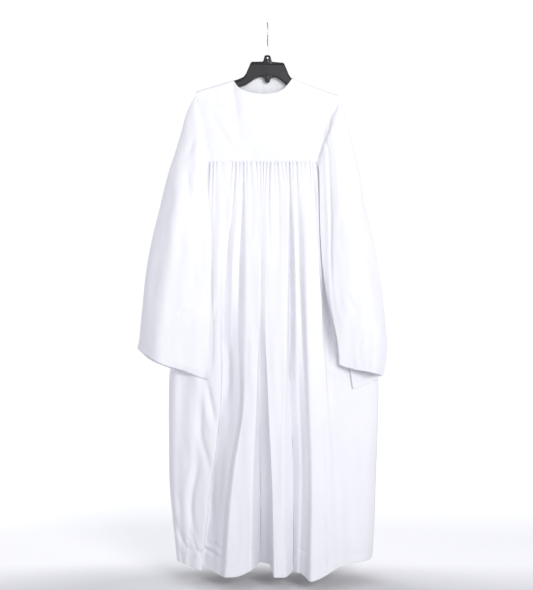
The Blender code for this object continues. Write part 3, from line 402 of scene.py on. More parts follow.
FRONT_CREASES = (
    (((119, -590), (123, -650), (130, -722)), 9, 17.0, 0.2, 0.5),
    (((-82, -650), (-81, -738), (-86, -796)), 8, 7.0, 0.1, 0.1),
    (((-124, -738), (-116, -779), (-108, -815), (-98, -826)), 6, 7.0, 0.3, 0.1),
    (((-136, -790), (-137, -850), (-126, -885), (-112, -931)), 6, 6.0, 0.1, 0.1),
    (((-141, -895), (-153, -960), (-157, -1000), (-148, -1035)), 7, 7.0, 0.1, 0.2),
    (((-128, -770), (-126, -820), (-114, -838)), 6, -3.0, 0.2, 0.1),
    (((-196, -1006), (-180, -1050), (-170, -1070), (-156, -1082)), 4, 3.4, 0.2, 0.2),
    (((-152, -1050), (-143, -1080), (-114, -1086), (-84, -1099)), 4, 3.2, 0.3, 0.2),
    (((-128, -1064), (-118, -1074), (-104, -1070), (-88, -1080)), 3.6, 2.6, 0.2, 0.2),
    (((-131, -775), (-122, -806), (-113, -839)), 5, -2.4, 0.2, 0.1),
    (((-158, -938), (-158, -982), (-156, -1022), (-137, -1062)), 5.5, 3.0, 0.1, 0.2),
    (((-146, -891), (-158, -906), (-168, -922)), 4.5, 2.2, 0.2, 0.0),
    (((-183, -1045), (-164, -1080), (-137, -1083), (-80, -1101)), 4.5, 2.0, 0.2, 0.1),
    (((-172, -1010), (-166, -1046), (-150, -1070)), 5, -1.8, 0.0, 0.2),
    (((-65, -868), (-62, -880), (-58, -890)), 3.5, 1.8, 0.2, 0.2),
    (((-176, -846), (-164, -880), (-160, -914)), 6, 2.2, 0.1, 0.1),
    (((-190, -960), (-178, -990), (-176, -1020)), 5, 2.0, 0.2, 0.0),
    (((-122, -962), (-112, -1004), (-116, -1048)), 6, 2.0, 0.0, 0.1),
    (((148, -789), (160, -791), (173, -802)), 4, 2.2, 0.1, 0.2),
    (((115, -971), (120, -1030), (121, -1102)), 6, -1.6, 0.0, 0.3),
    (((127, -1104), (137, -1109), (147, -1116)), 3.5, 1.4, 0.2, 0.1),
    (((190, -846), (176, -880), (172, -930)), 7, 2.4, 0.2, 0.0),
    (((158, -940), (166, -1004), (160, -1062)), 7, 2.0, 0.0, 0.1),
    (((196, -1000), (188, -1050), (192, -1096)), 6, 2.0, 0.1, 0.3),
    (((152, -1078), (170, -1090), (190, -1094)), 4, 1.6, 0.0, 0.2),
    (((-86, -330), (-88, -410), (-84, -500)), 7, 1.8, 0.3, 0.0),
    (((-34, -310), (-31, -380), (-33, -460)), 5, 1.8, 0.5, 0.0),
    (((15, -300), (17, -380), (20, -470), (22, -560)), 6, 1.8, 0.6, 0.0),
    (((27, -300), (27, -350), (29, -420)), 5, 1.5, 0.6, 0.0),
    (((83, -310), (88, -380), (90, -450)), 6, 1.7, 0.5, 0.0),
    (((-104, -300), (-106, -360), (-104, -440)), 6, 1.7, 0.5, 0.0),
    (((24, -640), (25, -720), (29, -800), (30, -880)), 8, 1.8, 0.0, 0.0),
    (((-32, -600), (-33, -690), (-38, -780)), 7, -1.6, 0.0, 0.0),
    (((96, -640), (98, -730), (100, -820)), 8, 1.7, 0.0, 0.0),
    (((-56, -960), (-58, -1020), (-56, -1084)), 7, 1.8, 0.0, 0.2),
    (((30, -990), (34, -1040), (30, -1090)), 8, 1.6, 0.0, 0.2),
    (((100, -880), (104, -930), (102, -990)), 7, -1.5, 0.0, 0.0),
    (((-40, -1066), (-26, -1074), (-10, -1076)), 4, 1.2, 0.1, 0.1),
    (((56, -1068), (72, -1078), (88, -1078)), 4, 1.3, 0.1, 0.1),
    (((-118, -700), (-126, -728), (-140, -748)), 6, 1.9, 0.1, 0.1),
    (((124, -640), (134, -668), (140, -706)), 6, 1.9, 0.2, 0.0),
    (((-100, -560), (-104, -600), (-112, -632)), 5, 1.5, 0.1, 0.1),
)
BACK_CREASES = (
    (((-150, -782), (-138, -830), (-144, -880)), 6, 2.4, 0.1, 0.1),
    (((-172, -934), (-160, -990), (-164, -1040)), 6, 2.6, 0.1, 0.2),
    (((-180, -1060), (-150, -1080), (-112, -1084)), 4.5, 1.8, 0.2, 0.1),
    (((-118, -905), (-112, -960), (-118, -1010)), 6, 2.0, 0.0, 0.1),
    (((180, -800), (166, -850), (170, -908)), 7, 2.4, 0.1, 0.1),
    (((196, -950), (184, -1010), (188, -1060)), 6, 2.2, 0.1, 0.2),
    (((140, -1070), (160, -1086), (188, -1088)), 4.5, 1.7, 0.1, 0.2),
    (((-88, -316), (-90, -400), (-88, -490)), 6, 1.7, 0.5, 0.0),
    (((-42, -310), (-42, -370), (-40, -430)), 5, 1.5, 0.5, 0.0),
    (((20, -306), (22, -390), (27, -470)), 6, 1.7, 0.5, 0.0),
    (((72, -310), (76, -380), (84, -450)), 6, 1.6, 0.5, 0.0),
    (((-20, -620), (-22, -720), (-20, -810)), 8, 1.7, 0.0, 0.0),
    (((64, -640), (72, -730), (80, -820)), 8, 1.8, 0.0, 0.0),
    (((-66, -700), (-68, -790), (-70, -880)), 7, -1.6, 0.0, 0.0),
    (((30, -900), (34, -980), (36, -1060)), 7, 1.7, 0.0, 0.2),
    (((110, -860), (118, -930), (116, -1000)), 7, -1.6, 0.0, 0.0),
    (((-50, -1062), (-32, -1076), (-14, -1078)), 4, 1.3, 0.1, 0.1),
    (((84, -1064), (98, -1076), (116, -1078)), 4, 1.3, 0.1, 0.1),
    (((-6, -330), (-7, -420), (-4, -520)), 6, 1.6, 0.3, 0.0),
)
RIGHT_SLEEVE_FRONT = (
    (((-166, -300), (-163, -336), (-158, -372)), 6, 2.4, 0.1, 0.1),
    (((-150, -236), (-158, -262), (-172, -290)), 6, 1.9, 0.3, 0.0),
    (((-153, -508), (-150, -526), (-147, -546)), 4.5, 2.2, 0.1, 0.2),
    (((-161, -595), (-172, -600), (-185, -611)), 4.5, 2.2, 0.1, 0.1),
    (((-185, -585), (-160, -592), (-137, -599)), 6.5, -1.8, 0.1, 0.1),
    (((-164, -656), (-171, -662), (-180, -662)), 4, 1.8, 0.2, 0.2),
    (((-111, -636), (-108, -680), (-106, -727)), 5, -1.6, 0.1, 0.3),
    (((-182, -420), (-176, -470), (-179, -520)), 8, 1.9, 0.0, 0.0),
    (((-132, -420), (-136, -480), (-130, -540)), 7, 1.8, 0.1, 0.0),
    (((-222, -470), (-232, -530), (-236, -590)), 8, 1.9, 0.0, 0.1),
    (((-204, -640), (-212, -662), (-228, -672)), 5, 1.6, 0.0, 0.2),
    (((-200, -330), (-196, -372), (-204, -410)), 7, 1.7, 0.1, 0.0),
    (((-137, -262), (-132, -290), (-128, -320)), 5, 1.8, 0.4, 0.1),
    (((-146, -690), (-158, -700), (-172, -700)), 4, 1.4, 0.0, 0.2),
)
RIGHT_SLEEVE_BACK = (
    (((-170, -250), (-178, -300), (-172, -352)), 7, 2.2, 0.2, 0.1),
    (((-150, -320), (-146, -370), (-152, -420)), 6, 2.0, 0.1, 0.0),
    (((-196, -400), (-190, -460), (-198, -520)), 8, 2.0, 0.0, 0.1),
    (((-160, -520), (-172, -540), (-190, -548)), 5, 1.9, 0.1, 0.1),
    (((-222, -560), (-214, -610), (-220, -660)), 7, 1.9, 0.0, 0.1),
    (((-140, -590), (-146, -640), (-142, -690)), 6, 1.8, 0.0, 0.2),
    (((-170, -640), (-184, -652), (-204, -652)), 5, -1.6, 0.1, 0.1),
)
LEFT_SLEEVE_FRONT = (
    (((152, -244), (163, -290), (173, -354), (182, -432), (200, -524)), 7, 2.4, 0.2, 0.0),
    (((175, -690), (206, -684), (238, -668)), 5, 2.0, 0.1, 0.2),
    (
        ((120, -246), (125, -268), (127, -350), (129, -412), (128, -474), (130, -536), (135, -598)),
        3.4, 3.2, 0.6, 0.1,
    ),
    (((143, -174), (131, -196), (126, -226), (117, -244), (108, -272)), 3.2, 3.6, 0.7, 0.8),
    (((149, -186), (139, -214), (128, -236)), 5.0, -1.8, 0.2, 0.2),
    (((121, -262), (122, -330), (124, -420), (124, -500)), 5.0, -1.6, 0.3, 0.0),
    (((150, -380), (146, -440), (152, -500)), 7, 1.9, 0.0, 0.0),
    (((190, -420), (206, -470), (212, -530)), 8, 1.7, 0.0, 0.1),
    (((160, -560), (172, -590), (190, -606)), 6, 1.8, 0.1, 0.0),
    (((136, -540), (142, -590), (152, -632)), 6, -1.7, 0.0, 0.1),
    (((222, -560), (226, -610), (220, -652)), 7, 1.8, 0.0, 0.1),
    (((196, -640), (186, -668), (188, -700)), 5, 1.6, 0.1, 0.3),
    (((184, -330), (192, -376), (196, -414)), 7, -1.5, 0.0, 0.0),
)
LEFT_SLEEVE_BACK = (
    (((150, -250), (160, -310), (156, -370)), 7, 2.2, 0.2, 0.1),
    (((176, -330), (184, -390), (180, -450)), 7, 2.0, 0.0, 0.1),
    (((140, -400), (146, -460), (142, -520)), 6, 1.9, 0.1, 0.0),
    (((200, -520), (194, -580), (202, -640)), 8, 2.0, 0.0, 0.1),
    (((156, -560), (168, -590), (186, -600)), 5, 1.8, 0.1, 0.1),
    (((168, -640), (174, -690), (170, -736)), 6, 1.8, 0.0, 0.3),
    (((226, -600), (222, -650), (226, -690)), 6, -1.6, 0.0, 0.1),
)
# Lengths over which creases fade at the top, bottom and sides of a panel
YOKE_FADE = (10.0, 4.0, 8.0)
SKIRT_FADE = (14.0, 0.0, 6.0)
SLEEVE_FADE = (6.0, 0.0, 0.0)
HEM_RIPPLE_FADE = (1.0, 0.0, 8.0)
# Slow unevenness: length across, length down, turn, height. It wanders by a rate and an amount.
WANDER = (2.3, 0.8)
SKIRT_WAVES = ((74.0, 610.0, 0.4, 0.8), (41.0, -460.0, 2.1, 0.5), (23.0, 350.0, 4.0, 0.25))
SLEEVE_WAVES = ((83.0, 620.0, 1.0, 1.1), (37.0, -410.0, 3.1, 0.5), (19.0, 300.0, 0.2, 0.12))
YOKE_WAVES = ((96.0, 130.0, 0.7, 0.5), (38.0, -84.0, 2.2, 0.25))

# Finer forms
SHOULDER_LIFT = 1.25
SHOULDER_STEP = 2.3
NECK_STEP = 1.9
YOKE_OVERLAP = 1.5
YOKE_TOP_DROPS = (0.0, 0.3, 0.8, 1.6, 2.8, 4.4, 6.4, 9.0, 12.0)
YOKE_ROWS = 66
NORMAL_BLEND = 1.6
SAME_PLACE = 1e-6
TINY = 1e-9
PUCKER_HEIGHT = 0.8
PUCKER_START = 3.0
PUCKER_FADE = 16.0
# Puckers along stitches: how far and at which multiple of the pitch their spacing strays, then their
# usual height, how much it varies, at which multiple of the pitch, and the turn it starts with
PUCKER_STRAY = (1.9, 2.7)
PUCKER_UNEVEN = (0.55, 0.45, 4.1, 0.7)
# Ripples at seams and hems: pitch and height of each, and how far they reach from the stitches
SEAM_PUCKERS = (8.6, 0.5)
SEAM_PUCKER_REACH = 9.0
HEM_RIPPLES = ((19.0, 0.8), (7.7, 0.25))
HEM_RIPPLE_REACH = 9.0
CUFF_RIPPLES = ((15.0, 0.5), (6.1, 0.2))
CUFF_RIPPLE_REACH = 6.0
FLUTE_SHARPNESS = 1.8
FOLD_SHARPNESS = {"side": 0.0, "ridge": 0.0, "swell": 0.0, "valley": 0.78, "slope": 1.0}
SIDE_SEAM_TUCK = 0.9
SIDE_SEAM_COLUMNS = 12.0
ARMHOLE_TUCK = 1.2
ARMHOLE_LEAST_OUT = 0.1
CLEARANCE_SOFTNESS = 3.0
STITCH_PITCH = 3.2
STITCH_LENGTH = 2.4
STITCH_WIDTH = 0.62
STITCH_SINK = 0.25
STITCH_LIFT = 0.1
STITCH_SHOULDERS = (-0.55, 0.55)
STITCH_AHEAD = 1.0
# How far a row of stitches lies below the neck, above the yoke seam, and in from a turned hem's upper edge
NECK_STITCH_DEPTH = 4.0
SEAM_STITCH_DEPTH = 2.4
HEM_STITCH_IN = 1.6
CUFF_STITCH_IN = 1.4

# Stage
FLOOR_Z = -1152.0
STAGE_R = 5200.0
FLOOR_SIDES = 96
BACKDROP_ANGLES = (-0.9, 1.5)
BACKDROP_RINGS = 13
BACKDROP_STRENGTH = 1.02

# Light and camera, in metres. The floor's painted shade and painted glow follow the distance from a
# place under the gown, in which depth counts more than width. The near painted glow grows up to its
# reach, and only behind the gown, over a range of depth. The far painted glow grows over a range of
# distance.
SKY_COLOUR = (0.905, 0.912, 1.0, 1.0)
SKY_STRENGTH = 0.575
# Where the floor's painted shade is centred, and how much its depth is squeezed
SHADE_PAINT_SQUEEZE = 2.1
SHADE_PAINT_PLACE = (-0.06, -0.12 * SHADE_PAINT_SQUEEZE, FLOOR_Z * MM)
FLOOR_GLOW = 0.3
FLOOR_GLOW_BEHIND = (-0.2, 0.1)
FLOOR_GLOW_REACH = 0.57
FAR_GLOW = 0.62
FAR_GLOW_RANGE = (1.2, 4.5)
LIGHT_AIM = (0.0, 0.0, 1.05)
LIGHTS = (
    ("key", (1.25, -2.8, 0.35), 1.5, 62.0, (1.0, 0.995, 0.975)),
    ("fill", (-1.8, 2.2, 0.6), 1.6, 34.0, (0.98, 0.99, 1.0)),
)
CAMERA_PLACE = (-0.002, -2.2, -0.565)
CAMERA_LENS = 64.4
CAMERA_REACH = 50.0


def through(places, values, at):
    """Smooth curves through rows of values at the places, which never swing past them."""
    places = np.asarray(places, float)
    values = np.asarray(values, float)
    flat = values.ndim == 1
    rows = values.reshape(len(places), -1)
    steps = np.diff(places)[:, None]
    slopes = np.diff(rows, axis=0) / steps
    product = slopes[:-1] * slopes[1:]
    total = np.where(product > 0, slopes[:-1] + slopes[1:], 1.0)
    inner = np.where(product > 0, 2.0 * product / total, 0.0)
    tangents = np.concatenate([slopes[:1], inner, slopes[-1:]])
    spots = np.atleast_1d(np.clip(np.asarray(at, float), places[0], places[-1]))
    index = np.clip(np.searchsorted(places, spots, side="right") - 1, 0, len(steps) - 1)
    step = steps[index]
    t = (spots - places[index])[:, None] / step
    start = rows[index] * (1 + 2 * t) * (1 - t) ** 2 + tangents[index] * step * t * (1 - t) ** 2
    end = rows[index + 1] * t * t * (3 - 2 * t) + tangents[index + 1] * step * t * t * (t - 1)
    found = start + end
    if flat:
        found = found[:, 0]
        return found if np.ndim(at) else float(found[0])
    return found.reshape((len(spots),) + values.shape[1:])


def table_curve(pairs, at):
    """Reads a table of (place, value) rows, in rising or falling order, as a smooth curve."""
    rows = np.array(sorted(pairs), float)
    return through(rows[:, 0], rows[:, 1], at)


def ease(t):
    """A smooth step from 0 to 1."""
    t = np.clip(t, 0.0, 1.0)
    return t * t * (3 - 2 * t)


def lengths_along(points):
    """Distance run along a line of points, from its first one."""
    steps = np.linalg.norm(np.diff(points, axis=0), axis=-1)
    return np.concatenate([np.zeros((1,) + steps.shape[1:]), np.cumsum(steps, axis=0)])


def unit(vectors):
    """Vectors scaled to length 1 along their last axis."""
    return vectors / np.maximum(np.linalg.norm(vectors, axis=-1, keepdims=True), TINY)


def normals_of(grid, closed):
    """Unit normals of a grid of points: rows down the cloth, columns along it."""
    if closed:
        along = np.roll(grid, -1, axis=1) - np.roll(grid, 1, axis=1)
    else:
        along = np.gradient(grid, axis=1)
    down = np.gradient(grid, axis=0)
    return unit(np.cross(along, down))


def adopt(thing, *nodes, slot="cotton"):
    """Makes a piece ride on the part and, where it does, stand for solids of it."""
    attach(thing, "root")
    if nodes:
        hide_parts(*nodes)
    return thing


def mesh_object(name, points, faces, material, sharp=55):
    """A smooth object of points in millimetres, sharp where faces meet at more than an angle."""
    mesh = bpy.data.meshes.new(name)
    mesh.from_pydata((np.asarray(points) * MM).tolist(), [], faces)
    mesh.update()
    mesh.materials.append(material)
    mesh.shade_smooth()
    mesh.set_sharp_from_angle(angle=math.radians(sharp))
    thing = bpy.data.objects.new(name, mesh)
    bpy.context.scene.collection.objects.link(thing)
    return thing


def grid_faces(rows, columns, closed):
    """Corner numbers of a grid's faces, and of the same faces with a column past the last."""
    i, j = np.meshgrid(np.arange(rows - 1), np.arange(columns if closed else columns - 1), indexing="ij")
    i, j = i.ravel(), j.ravel()
    k = (j + 1) % columns
    faces = np.stack([i * columns + j, i * columns + k, (i + 1) * columns + k, (i + 1) * columns + j], 1)
    wide = columns + 1
    open_faces = np.stack([i * wide + j, i * wide + j + 1, (i + 1) * wide + j + 1, (i + 1) * wide + j], 1)
    return faces, open_faces


def cloth_map(grid, closed):
    """Distances along and down the cloth at each grid point, in metres, one column past the last."""
    if closed:
        wide = np.concatenate([grid, grid[:, :1]], axis=1)
    else:
        wide = np.concatenate([grid, grid[:, -1:]], axis=1)
    across = lengths_along(wide[len(wide) // 2])
    down = lengths_along(wide[:, wide.shape[1] // 2])
    return np.stack(np.meshgrid(across, -down), axis=2).reshape(-1, 2) * MM


def shell(name, grid, material, out, closed=False, thick=CLOTH):
    """A closed thin shell of cloth about a grid of middle points. Normals times out point outwards."""
    rows, columns = grid.shape[:2]
    normal = normals_of(grid, closed) * out
    offset = normal * thick / 2
    points = np.concatenate([(grid + offset).reshape(-1, 3), (grid - offset).reshape(-1, 3)])
    inside = rows * columns
    faces, open_faces = grid_faces(rows, columns, closed)
    spans = np.arange(columns if closed else columns - 1)
    after = (spans + 1) % columns
    last = (rows - 1) * columns
    rims = [np.stack([after, spans, inside + spans, inside + after], 1)]
    rims.append(np.stack([last + spans, last + after, inside + last + after, inside + last + spans], 1))
    rim_map = [np.stack([spans + 1, spans, spans, spans + 1], 1)]
    wide_last = (rows - 1) * (columns + 1)
    rim_map.append(wide_last + np.stack([spans, spans + 1, spans + 1, spans], 1))
    if not closed:
        a = np.arange(rows - 1) * columns
        d = a + columns
        b, c = a + columns - 1, d + columns - 1
        rims.append(np.stack([a, d, inside + d, inside + a], 1))
        rims.append(np.stack([c, b, inside + b, inside + c], 1))
        a = np.arange(rows - 1) * (columns + 1)
        d = a + columns + 1
        rim_map.append(np.stack([a, d, d, a], 1))
        rim_map.append(np.stack([d, a, a, d], 1) + columns - 1)
    every = np.concatenate([faces, inside + faces[:, [0, 3, 2, 1]], *rims])
    corners = np.concatenate([open_faces, open_faces[:, [0, 3, 2, 1]], *rim_map])
    if out < 0:
        every, corners = every[:, ::-1], corners[:, ::-1]
    thing = mesh_object(name, points, every.tolist(), material)
    layer = thing.data.uv_layers.new(name="cloth")
    layer.uv.foreach_set("vector", cloth_map(grid, closed)[corners.ravel()].astype(np.float32).ravel())
    return thing


def turned(grid, out, depth, closed=False, at_top=False):
    """The grid with its edge turned to the inside, round a small bend and back up behind the cloth."""
    if at_top:
        return turned(grid[::-1], -out, depth, closed)[::-1]
    normal = normals_of(grid, closed) * out
    run = lengths_along(grid[::-1])
    count = int(np.argmax(np.median(run, axis=1) >= depth)) + 1
    edge, edge_normal = grid[-1], normal[-1]
    outward = unit(edge - grid[-2])
    bend = []
    for angle in np.radians(TURN_ANGLES):
        side = -(1 - math.cos(angle)) * TURN_GAP / 2
        bend.append(edge + edge_normal * side + outward * (math.sin(angle) * TURN_GAP / 2))
    back = (grid - normal * TURN_GAP)[::-1][:count]
    return np.concatenate([grid, np.array(bend), back])


def crease_relief(grid, creases):
    """Depth of a table of creases at each point of a grid, negative where the cloth sinks in.

    A crease runs through points (across, height). It has a width, a depth, and how strong it is
    at its start and at its end. A negative depth makes it a soft ridge.
    """
    rim, rim_width = CREASE_RIM
    spots = grid[:, :, (0, 2)]
    relief = np.zeros(spots.shape[:2])
    for points, width, depth, first, last in creases:
        line = np.array(points, float)
        run = lengths_along(line)
        nearest = np.full(relief.shape, np.inf)
        place = np.zeros(relief.shape)
        for k in range(len(line) - 1):
            step = line[k + 1] - line[k]
            t = np.clip(((spots - line[k]) @ step) / (step @ step), 0.0, 1.0)
            gap = np.linalg.norm(spots - line[k] - t[:, :, None] * step, axis=2)
            closer = gap < nearest
            nearest = np.where(closer, gap, nearest)
            place = np.where(closer, (run[k] + t * (run[k + 1] - run[k])) / run[-1], place)
        rising = first + (1 - first) * ease(place / CREASE_END_SHARE)
        falling = last + (1 - last) * ease((1 - place) / CREASE_END_SHARE)
        q = nearest / width
        trough = np.exp(-(q**2)) - rim * np.exp(-((q / rim_width) ** 2))
        relief -= depth * np.minimum(rising, falling) * trough
    return relief


def sway(grid, waves):
    """A slow unevenness of the cloth. Each wave has a length across, a length down, a turn and a height."""
    rate, amount = WANDER
    relief = np.zeros(grid.shape[:2])
    for across, down, turn, height in waves:
        angle = 2 * math.pi * (grid[:, :, 0] / across + grid[:, :, 2] / down) + turn
        relief += height * np.sin(angle + amount * np.sin(grid[:, :, 2] / down * rate + turn))
    return relief


def puckers(run, pitch, height):
    """Small uneven puckers along a line of stitches, at each distance along it."""
    stray, stray_length = PUCKER_STRAY
    usual, varied, length, turn = PUCKER_UNEVEN
    wave = np.sin(2 * math.pi * run / pitch + stray * np.sin(run / (pitch * stray_length)))
    return height * wave * (usual + varied * np.sin(run / (pitch * length) + turn))


def hanger_top(x):
    """Height of the hanger's top edge, a little lower on the wearer's left."""
    away = np.abs(x)
    rows = np.array(BLOCK_TOP + (ARM_TOP_AT,))
    top = np.interp(away, rows[:, 0], rows[:, 1])
    return top - np.maximum(away - ARM_TOP_AT[0], 0.0) * ARM_SLOPE + HANGER_TILT * x


def roll_out(drop):
    """How far cloth stands out in front of the arm that it passes over, at a drop below its top."""
    height = np.clip(ARM_ROLL - drop, 0.0, ARM_ROLL)
    return np.sqrt(np.maximum(ARM_ROLL**2 - height**2, 0.0))


def armhole_x(side, z):
    """Place across of an armhole's edge at a height: side is -1 for the right and 1 for the left."""
    return table_curve(RIGHT_ARMHOLE if side < 0 else LEFT_ARMHOLE, z)


def seam_out(x):
    """How far the yoke seam stands out from the gown's middle plane."""
    right, left = armhole_x(-1, YOKE_SEAM_Z), armhole_x(1, YOKE_SEAM_Z)
    inward = np.minimum(x - right, left - x) / SEAM_CORNER_EASE
    return SEAM_CORNER_OUT + (SEAM_OUT - SEAM_CORNER_OUT) * ease(inward)


def shoulder_points(start, end):
    """Points over the hanger's arm between two places across."""
    x = np.linspace(start, end, max(int(abs(end - start) / SHOULDER_STEP), 2))
    return np.stack([x, hanger_top(x) + SHOULDER_LIFT], axis=1)


def yoke_tops(neck, first, last):
    """Top points of a yoke's columns between two places across, and which are on the neck."""
    line = np.array(neck)
    run = lengths_along(line)
    fine = through(run, line, np.arange(0.0, run[-1], NECK_STEP))
    fine = np.concatenate([fine, line[-1:]])
    inner = fine[(fine[:, 0] > first) & (fine[:, 0] < last)]
    starts_in_neck, ends_in_neck = first >= line[0, 0], last <= line[-1, 0]
    right, left = shoulder_points(first, line[0, 0])[:-1], shoulder_points(line[-1, 0], last)[1:]
    if starts_in_neck:
        right = np.array([[first, np.interp(first, fine[:, 0], fine[:, 1])]])
    if ends_in_neck:
        left = np.array([[last, np.interp(last, fine[:, 0], fine[:, 1])]])
    marks = [starts_in_neck] * len(right) + [True] * len(inner) + [ends_in_neck] * len(left)
    return np.concatenate([right, inner, left]), np.array(marks)


def yoke_grid(neck, facing, first=-ARMHOLE_TOP_X, last=ARMHOLE_TOP_X):
    """Middle points of a yoke: facing is -1 for the front and 1 for the back."""
    tops, in_neck = yoke_tops(neck, first, last)
    x_top, z_top = tops[:, 0], tops[:, 1]
    right_corner, left_corner = FRONT_NECK[0], FRONT_NECK[-1]
    side = np.where(x_top < BACK_CENTRE_X, -1.0, 1.0)
    share = (x_top - BACK_CENTRE_X) / (side * ARMHOLE_TOP_X - BACK_CENTRE_X)
    full = z_top - YOKE_SEAM_Z + YOKE_OVERLAP
    top_part = np.repeat(np.array(YOKE_TOP_DROPS)[:, None], len(x_top), axis=1)
    low_part = top_part[-1] + (full - top_part[-1]) * np.linspace(0.0, 1.0, YOKE_ROWS + 1)[1:, None]
    drop = np.concatenate([top_part, low_part])
    z = z_top - drop
    right_edge, left_edge = armhole_x(-1, z.ravel()), armhole_x(1, z.ravel())
    edge = np.where(side < 0, right_edge.reshape(z.shape), left_edge.reshape(z.shape))
    x = BACK_CENTRE_X + share * (edge - BACK_CENTRE_X)
    edge_at_seam = np.where(side < 0, armhole_x(-1, YOKE_SEAM_Z), armhole_x(1, YOKE_SEAM_Z))
    goal = seam_out(BACK_CENTRE_X + share * (edge_at_seam - BACK_CENTRE_X))
    start = roll_out(drop)
    if facing < 0:
        below = np.maximum(np.where(x_top < 0, right_corner[1], left_corner[1]) - z_top, 0.0)
        on_neck = roll_out(below + drop) + FRONT_NECK_DROP_OUT * ease(below / FRONT_NECK_DROP_REACH)
    else:
        goal = goal * BACK_FLATNESS
        from_corner = np.maximum(np.minimum(x_top - right_corner[0], left_corner[0] - x_top), 0.0)
        rolled = np.maximum(roll_out(from_corner), start)
        on_neck = rolled + BACK_NECK_OUT * ease(from_corner / BACK_NECK_REACH)
    start = np.where(in_neck, on_neck, start)
    out = start + (goal - np.minimum(start, goal)) * ease(drop / full)
    return np.stack([x, facing * out, z], axis=2), in_neck


def creased(grid, out, creases, waves=(), closed=False, back_creases=(), keep=None):
    """The grid with its listed creases and slow unevenness. keep fades them towards edges.

    Where there are back creases, the first ones lie on the faces that look forwards.
    """
    normal = normals_of(grid, closed) * out
    relief = crease_relief(grid, creases)
    if back_creases:
        front = ease(0.5 - NORMAL_BLEND * normal[:, :, 1])
        relief = relief * front + crease_relief(grid, back_creases) * (1 - front)
    relief = relief + sway(grid, waves)
    if keep is not None:
        relief = relief * keep
    return grid + normal * relief[:, :, None]


def edge_fade(grid, top, bottom, sides):
    """1 inside a grid, falling to 0 at its top, bottom and side edges over the given lengths."""
    run = np.median(lengths_along(grid), axis=1)
    keep = np.ones(grid.shape[:2])
    if top:
        keep *= ease(run / top)[:, None]
    if bottom:
        keep *= ease((run[-1] - run) / bottom)[:, None]
    if sides:
        across = lengths_along(grid[len(grid) // 2])
        keep *= ease(np.minimum(across, across[-1] - across) / sides)[None, :]
    return keep


def stitch_line(points, normals, closed=False):
    """Centres, headings and outward directions of the stitches along a line."""
    if closed:
        points = np.concatenate([points, points[:1]])
        normals = np.concatenate([normals, normals[:1]])
    run = lengths_along(points)
    spots = np.arange(STITCH_PITCH / 2, run[-1] - STITCH_LENGTH / 2, STITCH_PITCH)

    def read(rows, at):
        """The rows' values at distances along the line."""
        return np.stack([np.interp(at, run, rows[:, axis]) for axis in range(3)], axis=1)

    centre = read(points, spots)
    return centre, unit(read(points, spots + STITCH_AHEAD) - centre), unit(read(normals, spots))


def stitches(name, lines, material):
    """One mesh of many small rounded stitches that lie on the cloth along the lines."""
    points, faces = [], []
    for centre, heading, away in lines:
        across = np.cross(heading, away)
        half, wide = STITCH_LENGTH / 2, STITCH_WIDTH / 2
        for c, h, a, s in zip(centre, heading, away, across):
            base = len(points)
            points += [c - h * half - a * STITCH_SINK, c + h * half - a * STITCH_SINK]
            for along in STITCH_SHOULDERS:
                middle = c + h * (half * along)
                points += [middle + s * wide, middle + a * wide, middle - s * wide, middle - a * wide]
            for k in range(4):
                n = (k + 1) % 4
                faces.append((base + 2 + k, base + 2 + n, base + 6 + n, base + 6 + k))
                faces.append((base, base + 2 + n, base + 2 + k))
                faces.append((base + 1, base + 6 + k, base + 6 + n))
    return adopt(mesh_object(name, points, faces, material, sharp=180))


def row_line(grid, out, depth, closed=False, from_top=False, part=None):
    """Points and outward directions of a line of stitches, at a depth from a grid's end."""
    run = np.median(lengths_along(grid if from_top else grid[::-1]), axis=1)
    row = int(np.argmin(np.abs(run - depth)))
    row = row if from_top else len(grid) - 1 - row
    normal = normals_of(grid, closed) * out
    points = grid[row] + normal[row] * (CLOTH / 2 + STITCH_LIFT)
    if part is not None:
        return stitch_line(points[part], normal[row][part])
    return stitch_line(points, normal[row], closed)


def skirt_columns(folds, gathers):
    """Place of each column on the yoke seam: the same number to each fine flute and part of a side."""
    stops = [folds[0][1][0], folds[1][1][0], *(row[0] for row in gathers), folds[-2][1][0], folds[-1][1][0]]
    parts = [np.linspace(here, there, FLUTE_COLUMNS + 1)[:-1] for here, there in zip(stops, stops[1:])]
    return np.append(np.concatenate(parts), stops[-1])


def gather_relief(places, gathers, drops):
    """Height of the fine gathers at each point, positive inwards."""
    valleys, reach, share = np.array(gathers, float).T
    drop = np.asarray(drops)[:, None]
    rise = GATHER_AT_SEAM + (1 - GATHER_AT_SEAM) * ease(drop / GATHER_START)
    strength = GATHER_HEIGHT * share * rise * np.clip(1 - drop / reach, 0.0, 1.0) ** GATHER_FADE
    strength = strength + PUCKER_HEIGHT * ease(drop / PUCKER_START) * np.exp(-((drop / PUCKER_FADE) ** 2))
    after = np.clip(np.searchsorted(valleys, places, side="right"), 1, len(valleys) - 1)
    before = after - 1
    pitch = valleys[after] - valleys[before]
    t = np.clip((places - valleys[before]) / pitch, 0.0, 1.0)
    crest = -0.5 * np.minimum(1.0, pitch / WIDE_FLUTE) * (strength[:, before] + strength[:, after])
    side = np.where(t < 0.5, strength[:, before], strength[:, after])
    relief = crest + (side - crest) * np.abs(2 * t - 1) ** FLUTE_SHARPNESS
    beyond = np.maximum(np.maximum(valleys[0] - places, places - valleys[-1]), 0.0)
    return relief * np.exp(-((beyond / GATHER_EDGE) ** 2))


